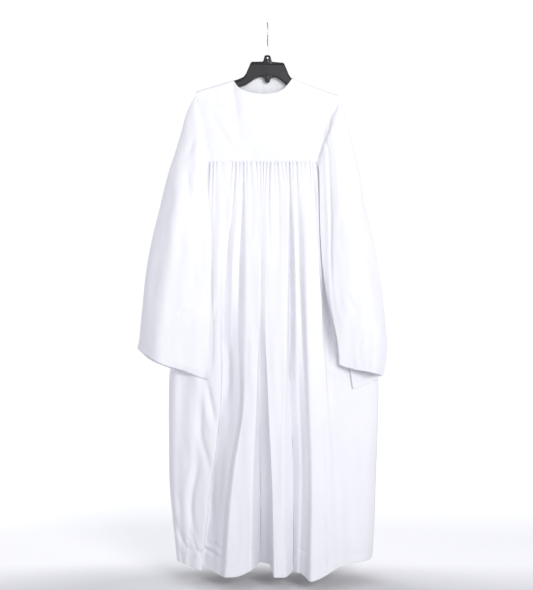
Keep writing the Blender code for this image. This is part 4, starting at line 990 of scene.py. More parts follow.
def skirt_top_edge(x):
    """How far out and how high the skirt's top edge runs, along the yoke and under the arms."""
    right, left = armhole_x(-1, YOKE_SEAM_Z), armhole_x(1, YOKE_SEAM_Z)
    beyond = np.clip(np.maximum(right - x, x - left), 0.0, None)
    span = np.where(x < 0, right - FRONT_FOLDS[0][1][0], FRONT_FOLDS[-1][1][0] - left)
    share = np.clip(beyond / span, 0.0, 1.0)
    seam = np.where(share > 0, SEAM_CORNER_OUT, seam_out(np.clip(x, right, left)))
    out = seam * np.sqrt(np.clip(1 - share**2, 0.0, 1.0))
    return out, YOKE_SEAM_Z - (YOKE_SEAM_Z - UNDERARM_Z) * share**UNDERARM_CURVE


def rise_between(t, start, end):
    """Share of the way from one fold's line to the next: ridges are round, valleys sharp."""
    first, last = FOLD_SHARPNESS[start.split()[0]], FOLD_SHARPNESS[end.split()[0]]
    return t**3 * (first + last - 2) + t**2 * (3 - 2 * first - last) + t * first


def skirt_grid(folds, gathers, hem_lift, top_out, facing):
    """Middle points of a skirt panel, from its top edge down. facing is -1 in front, 1 behind."""
    places = skirt_columns(folds, gathers)
    knots = np.array([fold[1][0] for fold in folds])
    levels = YOKE_SEAM_Z - np.array(SKIRT_LEVELS)
    across = np.zeros((len(levels), len(places)))
    out = np.zeros((len(levels), len(places)))
    for level in range(len(levels)):
        x = np.array([fold[1][level] for fold in folds], float)
        y = np.array([fold[2][max(level - 1, 0)] for fold in folds], float)
        across[level] = through(knots, x, places)
        for k in range(len(folds) - 1):
            here = (places >= knots[k] - SAME_PLACE) & (places <= knots[k + 1] + SAME_PLACE)
            t = np.clip((places[here] - knots[k]) / (knots[k + 1] - knots[k]), 0.0, 1.0)
            if k in (0, len(folds) - 2):
                away = 1 - t if k == 0 else t
                edge, inner = (k, k + 1) if k == 0 else (k + 1, k)
                across[level, here] = x[inner] + (x[edge] - x[inner]) * np.sin(away * math.pi / 2)
                out[level, here] = y[inner] * np.cos(away * math.pi / 2)
            else:
                part = np.clip((across[level, here] - x[k]) / (x[k + 1] - x[k]), 0.0, 1.0)
                share = rise_between(part, folds[k][0], folds[k + 1][0])
                out[level, here] = y[k] + (y[k + 1] - y[k]) * share
    height = np.repeat(np.array(SKIRT_LEVELS)[:, None], len(places), axis=1)
    across[0] = places
    top_edge, height[0] = skirt_top_edge(places)
    out[0] = top_edge * top_out
    height[-1] += table_curve(hem_lift, across[-1])
    starts, counts = zip(*SKIRT_ROW_STEPS)
    drops = []
    for start, end, count in zip(starts, starts[1:] + (levels[-1],), counts):
        drops += list(np.linspace(start, end, count + 1)[:-1])
    drops = np.array(drops + [levels[-1]])
    x, y = through(levels, across, drops), through(levels, out, drops)
    z = through(levels, height, drops) + np.maximum(-drops, 0.0)[:, None]
    y = y - gather_relief(places, gathers, drops) * np.clip(y / SHALLOW_FOLD, 0.0, 1.0)
    tuck = SEAM_TUCK * (1 - ease(drops / SEAM_TUCK_REACH))
    y = y - tuck[:, None] * np.clip(y / SHALLOW_FOLD, 0.0, 1.0)
    return np.stack([x, y * facing, z], axis=2)


def back_gathers():
    """The back's gather valleys, evenly set with a slight unevenness."""
    first, last = BACK_FOLDS[2][1][0], BACK_FOLDS[-3][1][0]
    pitch = (last - first) / (BACK_GATHER_COUNT - 1)
    (reach, reach_varies), (share, share_varies) = BACK_GATHER_REACH, BACK_GATHER_SHARE
    rows = []
    for k in range(BACK_GATHER_COUNT):
        aside, longer, stronger = (math.sin(turn * k) for turn in BACK_GATHER_TURNS)
        if k in (0, BACK_GATHER_COUNT - 1):
            aside = 0.0
        place = first + k * pitch + BACK_GATHER_SWAY * aside
        rows.append((place, reach + reach_varies * longer, share + share_varies * stronger))
    return rows


def layer_points(controls, counts):
    """Points along one layer of a sleeve, through its control points."""
    controls = np.array(controls)
    length = lengths_along(controls)
    places = [0.0]
    for k, count in enumerate(counts):
        places += list(np.linspace(length[k], length[k + 1], count + 1)[1:])
    return through(length, controls, places)


def beside(edge, towards, depth):
    """A point close to a folded edge, on the layer that runs from it."""
    step = towards - edge
    return edge + step / np.linalg.norm(step) * FOLD_ROUND + np.array([0.0, depth, 0.0])


def sleeve_grid(lines):
    """Closed rings of points down a sleeve, front layer then back layer, and each ring's station."""
    number = len(lines["outer"])
    run = lengths_along(np.array(lines["panel"], float))
    stations = np.interp(np.linspace(0.0, run[-1], SLEEVE_ROWS), run, range(number))
    at = {name: through(range(number), np.array(rows, float), stations) for name, rows in lines.items()}
    rings = []
    for k in range(SLEEVE_ROWS):
        outer, tip = at["outer"][k], at["tip"][k]
        ridge, panel, lip = at["ridge"][k], at["panel"][k], at["lip"][k]
        front = [outer, beside(outer, ridge, -FOLD_ROUND), ridge, panel, lip]
        front += [beside(tip, lip, -TIP_ROUND), tip]
        back = [tip, beside(tip, at["under"][k], TIP_ROUND), at["under"][k], at["back"][k]]
        back += [at["heel"][k], beside(outer, at["heel"][k], FOLD_ROUND), outer]
        ring = list(layer_points(front, FRONT_LAYER_STEPS))[:-1]
        ring += list(layer_points(back, BACK_LAYER_STEPS))[:-1]
        rings.append(ring)
    return np.array(rings), stations


def fit_armhole(ring, side, front_edge, back_edge):
    """Tucks a sleeve's first ring under the yoke's edges and round the skirt's top corner."""
    ring = ring.copy()
    on_yoke = ring[:, 2] > YOKE_SEAM_Z
    z = ring[on_yoke, 2]
    ring[on_yoke, 0] = armhole_x(side, z) - side * ARMHOLE_TUCK
    for edge, facing in ((front_edge, -1), (back_edge, 1)):
        mine = on_yoke & (ring[:, 1] * facing > 0)
        edge_out = np.interp(ring[mine, 2], edge[::-1, 2], edge[::-1, 1] * facing)
        ring[mine, 1] = facing * np.maximum(edge_out - ARMHOLE_TUCK, ARMHOLE_LEAST_OUT)
    low = np.flatnonzero(~on_yoke)
    corner = armhole_x(side, YOKE_SEAM_Z)
    span = abs(FRONT_FOLDS[0 if side < 0 else -1][1][0] - corner)
    angle = math.pi * (0.5 - (np.arange(len(low)) + 0.5) / len(low))
    across, forward = np.cos(angle) / span, np.sin(angle) / SEAM_CORNER_OUT
    length = np.hypot(across, forward)
    ring[low, 0] = corner + side * (span * np.cos(angle) + UNDERARM_WRAP * across / length)
    ring[low, 1] = -SEAM_CORNER_OUT * np.sin(angle) - UNDERARM_WRAP * forward / length
    ring[low, 2] = skirt_top_edge(corner + side * span * np.cos(angle))[1]
    return ring


def clear_of_skirt(grid, side, front, back):
    """Moves a sleeve's points softly clear of the skirt's side, to its front, back or outside."""
    grid = grid.copy()
    places = np.arange(-CLEARANCE_HALF_SPAN, CLEARANCE_HALF_SPAN, CLEARANCE_STEP)
    for panel, facing in ((front, -1), (back, 1)):
        heights = panel[:, :, 2].mean(axis=1)
        faces = np.array([np.interp(places, row[:, 0], np.abs(row[:, 1]), 0.0, 0.0) for row in panel])
        edges = panel[:, 0 if side < 0 else -1, 0]
        for ring in grid:
            mine = (ring[:, 2] < YOKE_SEAM_Z) & ((ring[:, 1] > 0) == (facing > 0))
            if not mine.any():
                continue
            row = np.interp(ring[mine, 2], heights[::-1], np.arange(len(heights))[::-1])
            low = np.clip(row.astype(int), 0, len(panel) - 2)
            part = row - low
            spot = np.clip((ring[mine, 0] - places[0]) / CLEARANCE_STEP, 0, len(places) - 2)
            left = spot.astype(int)
            share = spot - left
            upper = faces[low, left] * (1 - share) + faces[low, left + 1] * share
            lower = faces[low + 1, left] * (1 - share) + faces[low + 1, left + 1] * share
            face = upper * (1 - part) + lower * part + SLEEVE_CLEARANCE
            edge = edges[low] * (1 - part) + edges[low + 1] * part
            near = ease(1 - (side * (ring[mine, 0] - edge) - SLEEVE_CLEARANCE) / CLEARANCE_EASE)
            now = facing * ring[mine, 1]
            pushed = (now + face + np.sqrt((now - face) ** 2 + CLEARANCE_SOFTNESS**2)) / 2
            ring[mine, 1] = facing * (now + (pushed - now) * near)
    return grid


def finished_yoke(neck, facing, creases, *span):
    """A yoke's creased grid, puckered along its lower seam, and which of its columns are on the neck."""
    grid, in_neck = yoke_grid(neck, facing, *span)
    grid = creased(grid, facing, creases, YOKE_WAVES, keep=edge_fade(grid, *YOKE_FADE))
    near_seam = ease(1 - (grid[:, :, 2] - YOKE_SEAM_Z) / SEAM_PUCKER_REACH)
    grid[:, :, 1] += facing * puckers(grid[:, :, 0], *SEAM_PUCKERS) * near_seam
    return grid, in_neck


def build_yokes():
    """Grids of the front yoke and of the back yoke's right and left halves."""
    front = finished_yoke(FRONT_NECK, -1, FRONT_YOKE_CREASES)
    spans = (-ARMHOLE_TOP_X, BACK_CENTRE_X - BACK_HALF_GAP), (BACK_CENTRE_X + BACK_HALF_GAP, ARMHOLE_TOP_X)
    return front, [finished_yoke(BACK_NECK, 1, BACK_YOKE_CREASES, *span) for span in spans]


def neck_facing(name, grid, in_neck, out):
    """The yoke's edge, turned to the inside along the neck."""
    columns = np.flatnonzero(in_neck)
    piece = turned(grid[:, columns], out, NECK_TURN, at_top=True)
    extra = len(piece) - len(grid)
    return adopt(shell(name, piece[: extra + 1], cotton, out))


def ring_faces(rings, count, reverse=False):
    """Faces that join rings of points and close both ends. reverse is for rings that run the other way."""
    faces = []
    for ring in range(rings - 1):
        for k in range(count):
            a, b = ring * count + k, ring * count + (k + 1) % count
            faces.append((a, a + count, b + count, b) if reverse else (a, b, b + count, a + count))
    first, last = tuple(range(count)), tuple(range((rings - 1) * count, rings * count))
    return faces + ([first, last[::-1]] if reverse else [first[::-1], last])


def lathe(profile, place, axis="z", sides=40):
    """Points and faces of a turned form. profile lists (radius, height), from the base to the top."""
    points = []
    x, y, z = place
    for radius, rise in profile:
        for k in range(sides):
            angle = 2 * math.pi * k / sides
            c, s = max(radius, POINT_R) * math.cos(angle), max(radius, POINT_R) * math.sin(angle)
            points.append((x + c, y + s, z + rise) if axis == "z" else (x + c, y + rise, z - s))
    return points, ring_faces(len(profile), sides)


def tube(path, radius):
    """Points and faces of a round wire that runs along a path in the YZ plane to a rounded end."""
    path = np.asarray(path, float)
    ahead = unit(np.gradient(path, axis=0))
    radii = [radius] * len(path)
    tip, heading = path[-1], ahead[-1]
    for past, width in WIRE_END:
        path = np.append(path, [tip + heading * radius * past], axis=0)
        ahead = np.append(ahead, [heading], axis=0)
        radii.append(radius * width)
    side = np.array([1.0, 0.0, 0.0])
    points = []
    for place, heading, r in zip(path, ahead, radii):
        up = np.cross(heading, side)
        for k in range(WIRE_SIDES):
            angle = 2 * math.pi * k / WIRE_SIDES
            points.append(place + side * (r * math.cos(angle)) + up * (r * math.sin(angle)))
    return points, ring_faces(len(path), WIRE_SIDES, reverse=True)


def joined(name, parts, material):
    """One mesh object of several hard forms."""
    points, faces = [], []
    for more_points, more_faces in parts:
        base = len(points)
        points += [tuple(point) for point in more_points]
        faces += [tuple(base + corner for corner in face) for face in more_faces]
    return mesh_object(name, points, faces, material, sharp=40)


def moulding_ring(x, upper, lower):
    """Points round the moulding's section at a place across: its rims, and the web sunk between them."""
    away = abs(x)
    slope = max(away - ARM_TOP_AT[0], 0.0) * ARM_SLOPE
    end = max(away - (ARM_HALF_SPAN - ARM_END), 0.0) / ARM_END
    round_in = ARM_END_ROUND * (1 - math.sqrt(max(1 - end**2, 0.0)))
    top = float(np.interp(away, upper[:, 0], upper[:, 1])) - slope - round_in
    low = float(np.interp(away, lower[:, 0], lower[:, 1])) - slope + round_in
    high, foot = min(top - TOP_RIM, WEB_TOP_Z), low + LOW_RIM
    if away < NUB_HALF_WIDTH:
        foot = max(foot, WEB_FOOT_Z)
    if high - foot < WEB_LEAST:
        high, foot = (high + foot) / 2 + WEB_LEAST / 2, (high + foot) / 2 - WEB_LEAST / 2
    side = edge = web = ARM_HALF_THICK
    if away <= ARM_HALF_SPAN - WEB_STOP:
        edge, web = side - RIM_BEVEL, WEB_HALF_THICK
    ring = []
    for k in range(TOP_RIM_STEPS + 1):
        angle = math.pi * k / TOP_RIM_STEPS
        ring.append((-side * math.cos(angle), top - TOP_RIM_ROUND * (1 - math.sin(angle))))
    back = [(side, high + RIM_BEVEL), (edge, high), (web, high - 2 * RIM_BEVEL)]
    back += [(web, foot + 2 * RIM_BEVEL), (edge, foot), (side, foot - RIM_BEVEL)]
    back += [(side - inward, low + rise) for inward, rise in LOW_RIM_ROUND]
    ring += back + [(-y, z) for y, z in back[::-1]]
    return [(x, y, z + HANGER_TILT * x) for y, z in ring]


def moulding():
    """Points and faces of the hanger's body: rounded rims round a recessed web."""
    reach, height = ARM_TOP_AT
    upper = np.array(BLOCK_TOP + (ARM_TOP_AT,))
    lower = np.array(BLOCK_BOTTOM + ((reach, height - ARM_HEIGHT),))
    last = ARM_HALF_SPAN - ARM_END
    spots = {*np.arange(0.0, BLOCK_REACH, BLOCK_STEP), *np.arange(BLOCK_REACH, last, ARM_STEP)}
    spots = [x for x in sorted({*spots, *upper[:, 0], *lower[:, 0]}) if x <= last]
    spots += [ARM_HALF_SPAN - back for back in ARM_END_PLACES]
    rings = [moulding_ring(x, upper, lower) for x in [-spot for spot in spots[:0:-1]] + spots]
    points = [point for ring in rings for point in ring]
    return points, ring_faces(len(rings), len(rings[0]), reverse=True)


def both_sides(profile):
    """A turned form on the hanger's front and on its back, about the pin. profile runs outwards."""
    forms = []
    for facing in (-1, 1):
        rows = [(radius, facing * rise) for radius, rise in profile]
        forms.append(lathe(rows if facing > 0 else rows[::-1], (0, 0, PIN_Z), axis="y"))
    return forms


def hook_path():
    """Points along the hook's wire: its stem, a smooth bend aside, then the round hook."""
    centre_z = HOOK_WIRE_R - HOOK_R
    join = math.radians(HOOK_BEND_ENDS_AT)
    end = np.array([HOOK_R * math.cos(join), centre_z + HOOK_R * math.sin(join)])
    start = np.array([0.0, centre_z - HOOK_R - HOOK_STEM])
    rise, run = HOOK_BEND_HANDLES
    heading = np.array([-math.sin(join), math.cos(join)])
    handles = (start, start + np.array([0.0, rise]), end - run * heading, end)
    path = [(0.0, BOSS_TOP_Z + above) for above in HOOK_ROOT_RISES]
    for t in np.linspace(0.0, 1.0, HOOK_BEND_STEPS):
        weights = ((1 - t) ** 3, 3 * t * (1 - t) ** 2, 3 * t * t * (1 - t), t**3)
        path.append(tuple(sum(w * h for w, h in zip(weights, handles))))
    for degrees in range(*HOOK_CURL):
        angle = math.radians(degrees)
        path.append((HOOK_R * math.cos(angle), centre_z + HOOK_R * math.sin(angle)))
    return [(0.0, y, z) for y, z in path]


def build_hanger():
    """The moulding with its boss, nub and pin rings, the pin's two heads, and the hook."""
    parts = [moulding(), lathe(BOSS, (0, 0, 0)), lathe(NUB, (0, 0, 0)), *both_sides(PIN_RING)]
    adopt(joined("hanger_moulding", parts, plastic), "hanger_body", slot="hanger")
    adopt(joined("hook_pin", both_sides(PIN_HEAD), steel), slot="hook")
    adopt(joined("hook_wire", [tube(hook_path(), HOOK_WIRE_R)], steel), "hanger_hook", slot="hook")


def placket_grid(right, left):
    """Middle points of the strip over the opening. Each side follows its own half's slope."""
    spine = right[:, -1]
    beside_it = right[:, -1 - PLACKET_SLOPE_COLUMN], left[:, PLACKET_SLOPE_COLUMN]
    rows = []
    for z in np.linspace(spine[0, 2] + PLACKET_TOP_RISE, PLACKET_END_Z, PLACKET_ROWS):
        middle = np.interp(z, spine[::-1, 2], spine[::-1, 1])
        slopes = []
        for line in beside_it:
            x, y = (np.interp(z, line[::-1, 2], line[::-1, axis]) for axis in (0, 1))
            slopes.append((y - middle) / abs(x - BACK_CENTRE_X))
        row = []
        for part in np.linspace(-0.5, 0.5, PLACKET_COLUMNS):
            away = part * PLACKET_WIDTH
            y = middle + abs(away) * slopes[0 if away < 0 else 1] + PLACKET_LIFT
            row.append((BACK_CENTRE_X + away, y, z))
        rows.append(row)
    grid = np.array(rows)
    edge = ease((np.abs(grid[:, :, 0] - BACK_CENTRE_X) - PLACKET_FLAT) / PLACKET_FLAT)
    grid[:, :, 1] += puckers(-grid[:, :, 2], *PLACKET_PUCKERS) * edge
    return grid


def build_button(number, y, z):
    """A button at a height. Gives its four holes, the threads through them and the buttonhole's stitches."""
    body = lathe(BUTTON, (BACK_CENTRE_X, y, z), axis="y", sides=BUTTON_SIDES)
    adopt(joined(f"pearl_button_{number}", [body], pearl), f"button_{number}", slot="button")
    holes, threads = [], []
    for across in (-BUTTON_HOLE_OFFSET, BUTTON_HOLE_OFFSET):
        for up in (-BUTTON_HOLE_OFFSET, BUTTON_HOLE_OFFSET):
            place = (BACK_CENTRE_X + across, y, z + up)
            holes.append(lathe(BUTTON_HOLE, place, axis="y", sides=HOLE_SIDES))
        centre = np.array([[BACK_CENTRE_X + across, y + BUTTON_THREAD_OUT, z]])
        threads.append((centre, np.array([[0.0, 0.0, 1.0]]), np.array([[0.0, 1.0, 0.0]])))
    heights = np.arange(z - SLIT_HALF, z + SLIT_HALF, SLIT_PITCH)
    heading = np.tile((SLIT_STITCH_SHARE, 0.0, 0.0), (len(heights), 1))
    outward = np.tile((0.0, 1.0, 0.0), (len(heights), 1))
    for across in (-SLIT_OFFSET, SLIT_OFFSET):
        centre = np.array([(BACK_CENTRE_X + across, y + SLIT_OUT, height) for height in heights])
        threads.append((centre, heading, outward))
    return holes, threads


def build_placket(right, left):
    """The strip over the centre-back opening, its stitching, buttonholes and buttons."""
    grid = placket_grid(right, left)
    placket = adopt(shell("placket_strip", grid, cotton, 1, thick=PLACKET_THICK), "back_placket")
    normal = normals_of(grid, False)
    raised = grid + normal * PLACKET_STITCH_OUT
    lines = [stitch_line(raised[:, column], normal[:, column]) for column in (1, -2)]
    lines.append(stitch_line(raised[-3, 1:-1], normal[-3, 1:-1]))
    holes = []
    middle = grid[::-1, PLACKET_COLUMNS // 2]
    for number, z in enumerate(BUTTON_Z, start=1):
        y = float(np.interp(z, middle[:, 2], middle[:, 1])) + PLACKET_THICK / 2
        more_holes, more_lines = build_button(number, y, z)
        holes += more_holes
        lines += more_lines
    # The holes are small discs with painted shade
    adopt(joined("button_holes", holes, hole_shade), slot="button")
    stitches("placket_stitches", lines, thread)
    return placket


def ripples_at(grid, depth, reach, ripples):
    """Unevenness of the cloth about a row of stitches, at a depth from the grid's lower edge."""
    run = np.median(lengths_along(grid[::-1]), axis=1)[::-1]
    wave = sum(puckers(lengths_along(grid[-1]), pitch, height) for pitch, height in ripples)
    return wave[None, :] * np.exp(-(((run - depth) / reach) ** 2))[:, None]


def dress_yokes(front, halves):
    """The yoke's three panels with their stitches. Gives the pieces, and their turned neck edges."""
    panels = (
        ("front_yoke", "front_neck_facing", -1, *front),
        ("back_yoke_right", "back_neck_facing_right", 1, *halves[0]),
        ("back_yoke_left", "back_neck_facing_left", 1, *halves[1]),
    )
    pieces, facings, lines = {}, [], []
    for name, facing_name, out, grid, in_neck in panels:
        pieces[name] = adopt(shell(f"{name}_cloth", grid, cotton, out), name)
        facings.append(neck_facing(facing_name, grid, in_neck, out))
        lines.append(row_line(grid, out, SEAM_STITCH_DEPTH))
        neck = np.flatnonzero(in_neck)
        lines.append(row_line(grid, out, NECK_STITCH_DEPTH, from_top=True, part=neck))
    stitches("yoke_stitches", lines, thread)
    return pieces, facings


def dress_skirts():
    """The skirt's two panels with their turned hems. Gives the pieces, and their grids above the turn."""
    front = skirt_grid(FRONT_FOLDS, FRONT_GATHERS, FRONT_HEM_LIFT, 1.0, -1)
    back = skirt_grid(BACK_FOLDS, back_gathers(), BACK_HEM_LIFT, BACK_FLATNESS, 1)
    tuck = ease(1 - np.arange(back.shape[1]) / SIDE_SEAM_COLUMNS)
    back[:, :, 0] += SIDE_SEAM_TUCK * (tuck - tuck[::-1])
    panels = (("front_skirt", front, -1, FRONT_CREASES), ("back_skirt", back, 1, BACK_CREASES))
    pieces, forms, lines = {}, [], []
    for name, grid, out, creases in panels:
        form = creased(grid, out, creases, SKIRT_WAVES, keep=edge_fade(grid, *SKIRT_FADE))
        uneven = ripples_at(form, HEM_DEPTH, HEM_RIPPLE_REACH, HEM_RIPPLES)
        form[:, :, 1] += out * uneven * edge_fade(form, *HEM_RIPPLE_FADE)
        pieces[name] = adopt(shell(f"{name}_cloth", turned(form, out, HEM_DEPTH), cotton, out), name)
        lines.append(row_line(form, out, HEM_DEPTH - HEM_STITCH_IN))
        forms.append(form)
    stitches("hem_stitches", lines, thread)
    return pieces, forms


def dress_sleeves(front_yoke, back_right, back_left, skirts):
    """Both sleeves, fitted into the armholes and clear of the skirt, with their turned cuffs."""
    yoke_edges = {-1: (front_yoke[:, 0], back_right[:, 0]), 1: (front_yoke[:, -1], back_left[:, -1])}
    sleeves = (
        ("sleeve_right", RIGHT_SLEEVE, -1, RIGHT_SLEEVE_FRONT, RIGHT_SLEEVE_BACK),
        ("sleeve_left", LEFT_SLEEVE, 1, LEFT_SLEEVE_FRONT, LEFT_SLEEVE_BACK),
    )
    pieces, lines = {}, []
    for name, table, side, front_creases, back_creases in sleeves:
        grid, stations = sleeve_grid(table)
        fitted = fit_armhole(grid[0], side, *yoke_edges[side])
        blend = 1 - ease(stations / ARMHOLE_BLEND)
        grid = grid + (fitted - grid[0])[None] * blend[:, None, None]
        cleared = clear_of_skirt(grid, side, *skirts)
        grid = grid + (cleared - grid) * ease(stations / CLEARANCE_START)[:, None, None]
        keep = edge_fade(grid, *SLEEVE_FADE)
        grid = creased(grid, side, front_creases, SLEEVE_WAVES, True, back_creases, keep)
        uneven = ripples_at(grid, CUFF_DEPTH, CUFF_RIPPLE_REACH, CUFF_RIPPLES)
        grid = grid + normals_of(grid, True) * side * uneven[:, :, None]
        cuffed = turned(grid, side, CUFF_DEPTH, closed=True)
        pieces[name] = adopt(shell(f"{name}_cloth", cuffed, cotton, side, closed=True), name)
        lines.append(row_line(grid, side, CUFF_DEPTH - CUFF_STITCH_IN, closed=True))
    stitches("cuff_stitches", lines, thread)
    return pieces


def build_gown():
    """All the gown's pieces. Gives its sheets of cloth by name, and the turned neck edges."""
    front, halves = build_yokes()
    (right, _), (left, _) = halves
    pieces, facings = dress_yokes(front, halves)
    pieces["placket"] = build_placket(right, left)
    skirts, forms = dress_skirts()
    return {**pieces, **skirts, **dress_sleeves(front[0], right, left, forms)}, facings


class Finish:
    """A material, its shader, and short ways to make the nodes that feed it."""

    def __init__(self, name, **inputs):
        self.material = bpy.data.materials.new(name)
        self.material.use_nodes = True
        self.tree = self.material.node_tree
        self.shader = self.tree.nodes["Principled BSDF"]
        self.feed(self.shader, **inputs)
        self.solid = self.make("TexCoord").outputs["Object"]

    def give(self, socket, value):
        """Links an input to a node's output, or sets its value."""
        if isinstance(value, bpy.types.NodeSocket):
            self.tree.links.new(value, socket)
        else:
            socket.default_value = value

    def feed(self, node, **inputs):
        """Gives a node its inputs by name, and returns the material."""
        for key, value in inputs.items():
            self.give(node.inputs[key.replace("_", " ")], value)
        return self.material

    def make(self, kind, settings=None, pair=(), start=0, **inputs):
        """A new node. A pair goes to two inputs that share a name, the first of them by its number."""
        node = self.tree.nodes.new("ShaderNode" + kind)
        for key, value in (settings or {}).items():
            setattr(node, key, value)
        for number, value in enumerate(pair, start):
            self.give(node.inputs[number], value)
        self.feed(node, **inputs)
        return node

    def math(self, operation, *pair):
        """Two numbers combined."""
        return self.make("Math", {"operation": operation}, pair).outputs["Value"]

    def noise(self, place, scale, **inputs):
        """Strength of a noise pattern at a place."""
        return self.make("TexNoise", Vector=place, Scale=scale, **inputs).outputs["Fac"]

    def bands(self, place, way, scale, **inputs):
        """Strength of a pattern of bands at a place."""
        node = self.make("TexWave", {"bands_direction": way}, Vector=place, Scale=scale, **inputs)
        return node.outputs["Fac"]

    def stretched(self, place, scale):
        """A place, scaled along each axis."""
        return self.make("Mapping", Vector=place, Scale=scale).outputs["Vector"]

    def ranged(self, value, **inputs):
        """A value taken from one range to another."""
        return self.make("MapRange", Value=value, **inputs).outputs["Result"]

    def ramp(self, factor, *stops):
        """A colour between stops, which list (factor, colour)."""
        node = self.make("ValToRGB", Fac=factor)
        ends = node.color_ramp.elements
        ends[0].position, ends[0].color = stops[0]
        ends[1].position, ends[1].color = stops[-1]
        for position, colour in stops[1:-1]:
            ends.new(position).color = colour
        return node.outputs["Color"]

    def tinted(self, share, *pair):
        """A colour multiplied by a share of another. A mix has its colours in inputs 6 and 7."""
        settings = {"data_type": "RGBA", "blend_type": "MULTIPLY"}
        return self.make("Mix", settings, pair, start=6, Factor=share).outputs[2]

    def bump(self, height, strength, distance, **below):
        """Relief from a pattern, on top of the relief below it."""
        node = self.make("Bump", Height=height, Strength=strength, Distance=distance, **below)
        return node.outputs["Normal"]


def cotton_finish():
    """Crisp white plain weave: fine crossed threads, slubs, faint creasing and a soft sheen."""
    look = Finish(
        "white cotton weave", Roughness=0.82, Specular_IOR_Level=0.3, Sheen_Weight=0.12, Sheen_Roughness=0.5
    )
    place = look.make("UVMap", {"uv_map": "cloth"}).outputs["UV"]
    warp, weft = (look.bands(place, way, 640.0, Distortion=0.4, Detail=1.0) for way in "XY")
    weave = look.math("MULTIPLY", warp, weft)
    slubs = look.noise(look.stretched(place, (900.0, 90.0, 1.0)), 1.0, Detail=3.0)
    rumple = look.noise(look.stretched(look.solid, (34.0, 34.0, 9.0)), 1.0, Detail=3.0, Roughness=0.5)
    soft = look.noise(look.solid, 9.0, Detail=4.0)
    white = look.ramp(soft, (0.3, (0.845, 0.85, 0.885, 1)), (0.7, (0.88, 0.882, 0.912, 1)))
    threads = look.ramp(weave, (0.0, (0.95, 0.95, 0.955, 1)), (0.45, (1, 1, 1, 1)))
    rough = look.ranged(slubs, To_Min=0.74, To_Max=0.9)
    creasing = look.bump(rumple, 0.4, 0.0028)
    slubbed = look.bump(slubs, 0.25, 0.00012, Normal=creasing)
    woven = look.bump(weave, 0.3, 0.00008, Normal=slubbed)
    return look.feed(look.shader, Base_Color=look.tinted(0.6, white, threads), Roughness=rough, Normal=woven)


def thread_finish():
    """White sewing thread with a fine twist."""
    look = Finish("white sewing thread", Roughness=0.55, Sheen_Weight=0.2)
    twist = look.bands(look.solid, "DIAGONAL", 900.0, Distortion=1.0)
    colour = look.ramp(twist, (0.1, (0.78, 0.785, 0.81, 1)), (0.7, (0.87, 0.87, 0.89, 1)))
    return look.feed(look.shader, Base_Color=colour, Normal=look.bump(twist, 0.4, 0.0001))


def plastic_finish():
    """Moulded black plastic: a fine grain, faint flow marks and slightly polished places."""
    look = Finish("moulded black plastic", Roughness=0.36)
    flow = look.noise(look.solid, 26.0, Detail=5.0, Distortion=0.6)
    colour = look.ramp(flow, (0.3, (0.008, 0.0085, 0.0105, 1)), (0.7, (0.014, 0.0145, 0.017, 1)))
    rough = look.ranged(flow, To_Min=0.28, To_Max=0.46)
    grain = look.bump(look.noise(look.solid, 2400.0, Detail=2.0), 0.18, 0.0001)
    return look.feed(look.shader, Base_Color=colour, Roughness=rough, Normal=grain)


def steel_finish():
    """Bright plated steel with faint marks across the wire."""
    look = Finish("bright plated steel", Roughness=0.22, Metallic=1.0)
    marks = look.noise(look.stretched(look.solid, (1400.0, 160.0, 160.0)), 1.0, Detail=3.0)
    colour = look.ramp(marks, (0.3, (0.62, 0.625, 0.64, 1)), (0.7, (0.76, 0.765, 0.775, 1)))
    return look.feed(look.shader, Base_Color=colour, Roughness=look.ranged(marks, To_Min=0.15, To_Max=0.32))


def pearl_finish():
    """Pearly button: a soft swirl of warm and cool white under a clear coat."""
    look = Finish("pearly button", Roughness=0.24, Coat_Weight=0.5, Coat_Roughness=0.08)
    swirl = look.noise(look.solid, 210.0, Detail=4.0, Distortion=1.8)
    warm, plain, cool = (0.86, 0.84, 0.81, 1), (0.9, 0.9, 0.9, 1), (0.86, 0.88, 0.92, 1)
    return look.feed(look.shader, Base_Color=look.ramp(swirl, (0.32, warm), (0.5, plain), (0.68, cool)))


def hole_finish():
    """Painted shade for the inside of a button's hole, on the small discs that stand for the holes."""
    look = Finish("shaded hole", Roughness=0.7)
    shade = look.noise(look.solid, 900.0)
    colour = look.ramp(shade, (0.3, (0.16, 0.155, 0.15, 1)), (0.7, (0.26, 0.25, 0.24, 1)))
    return look.feed(look.shader, Base_Color=colour)


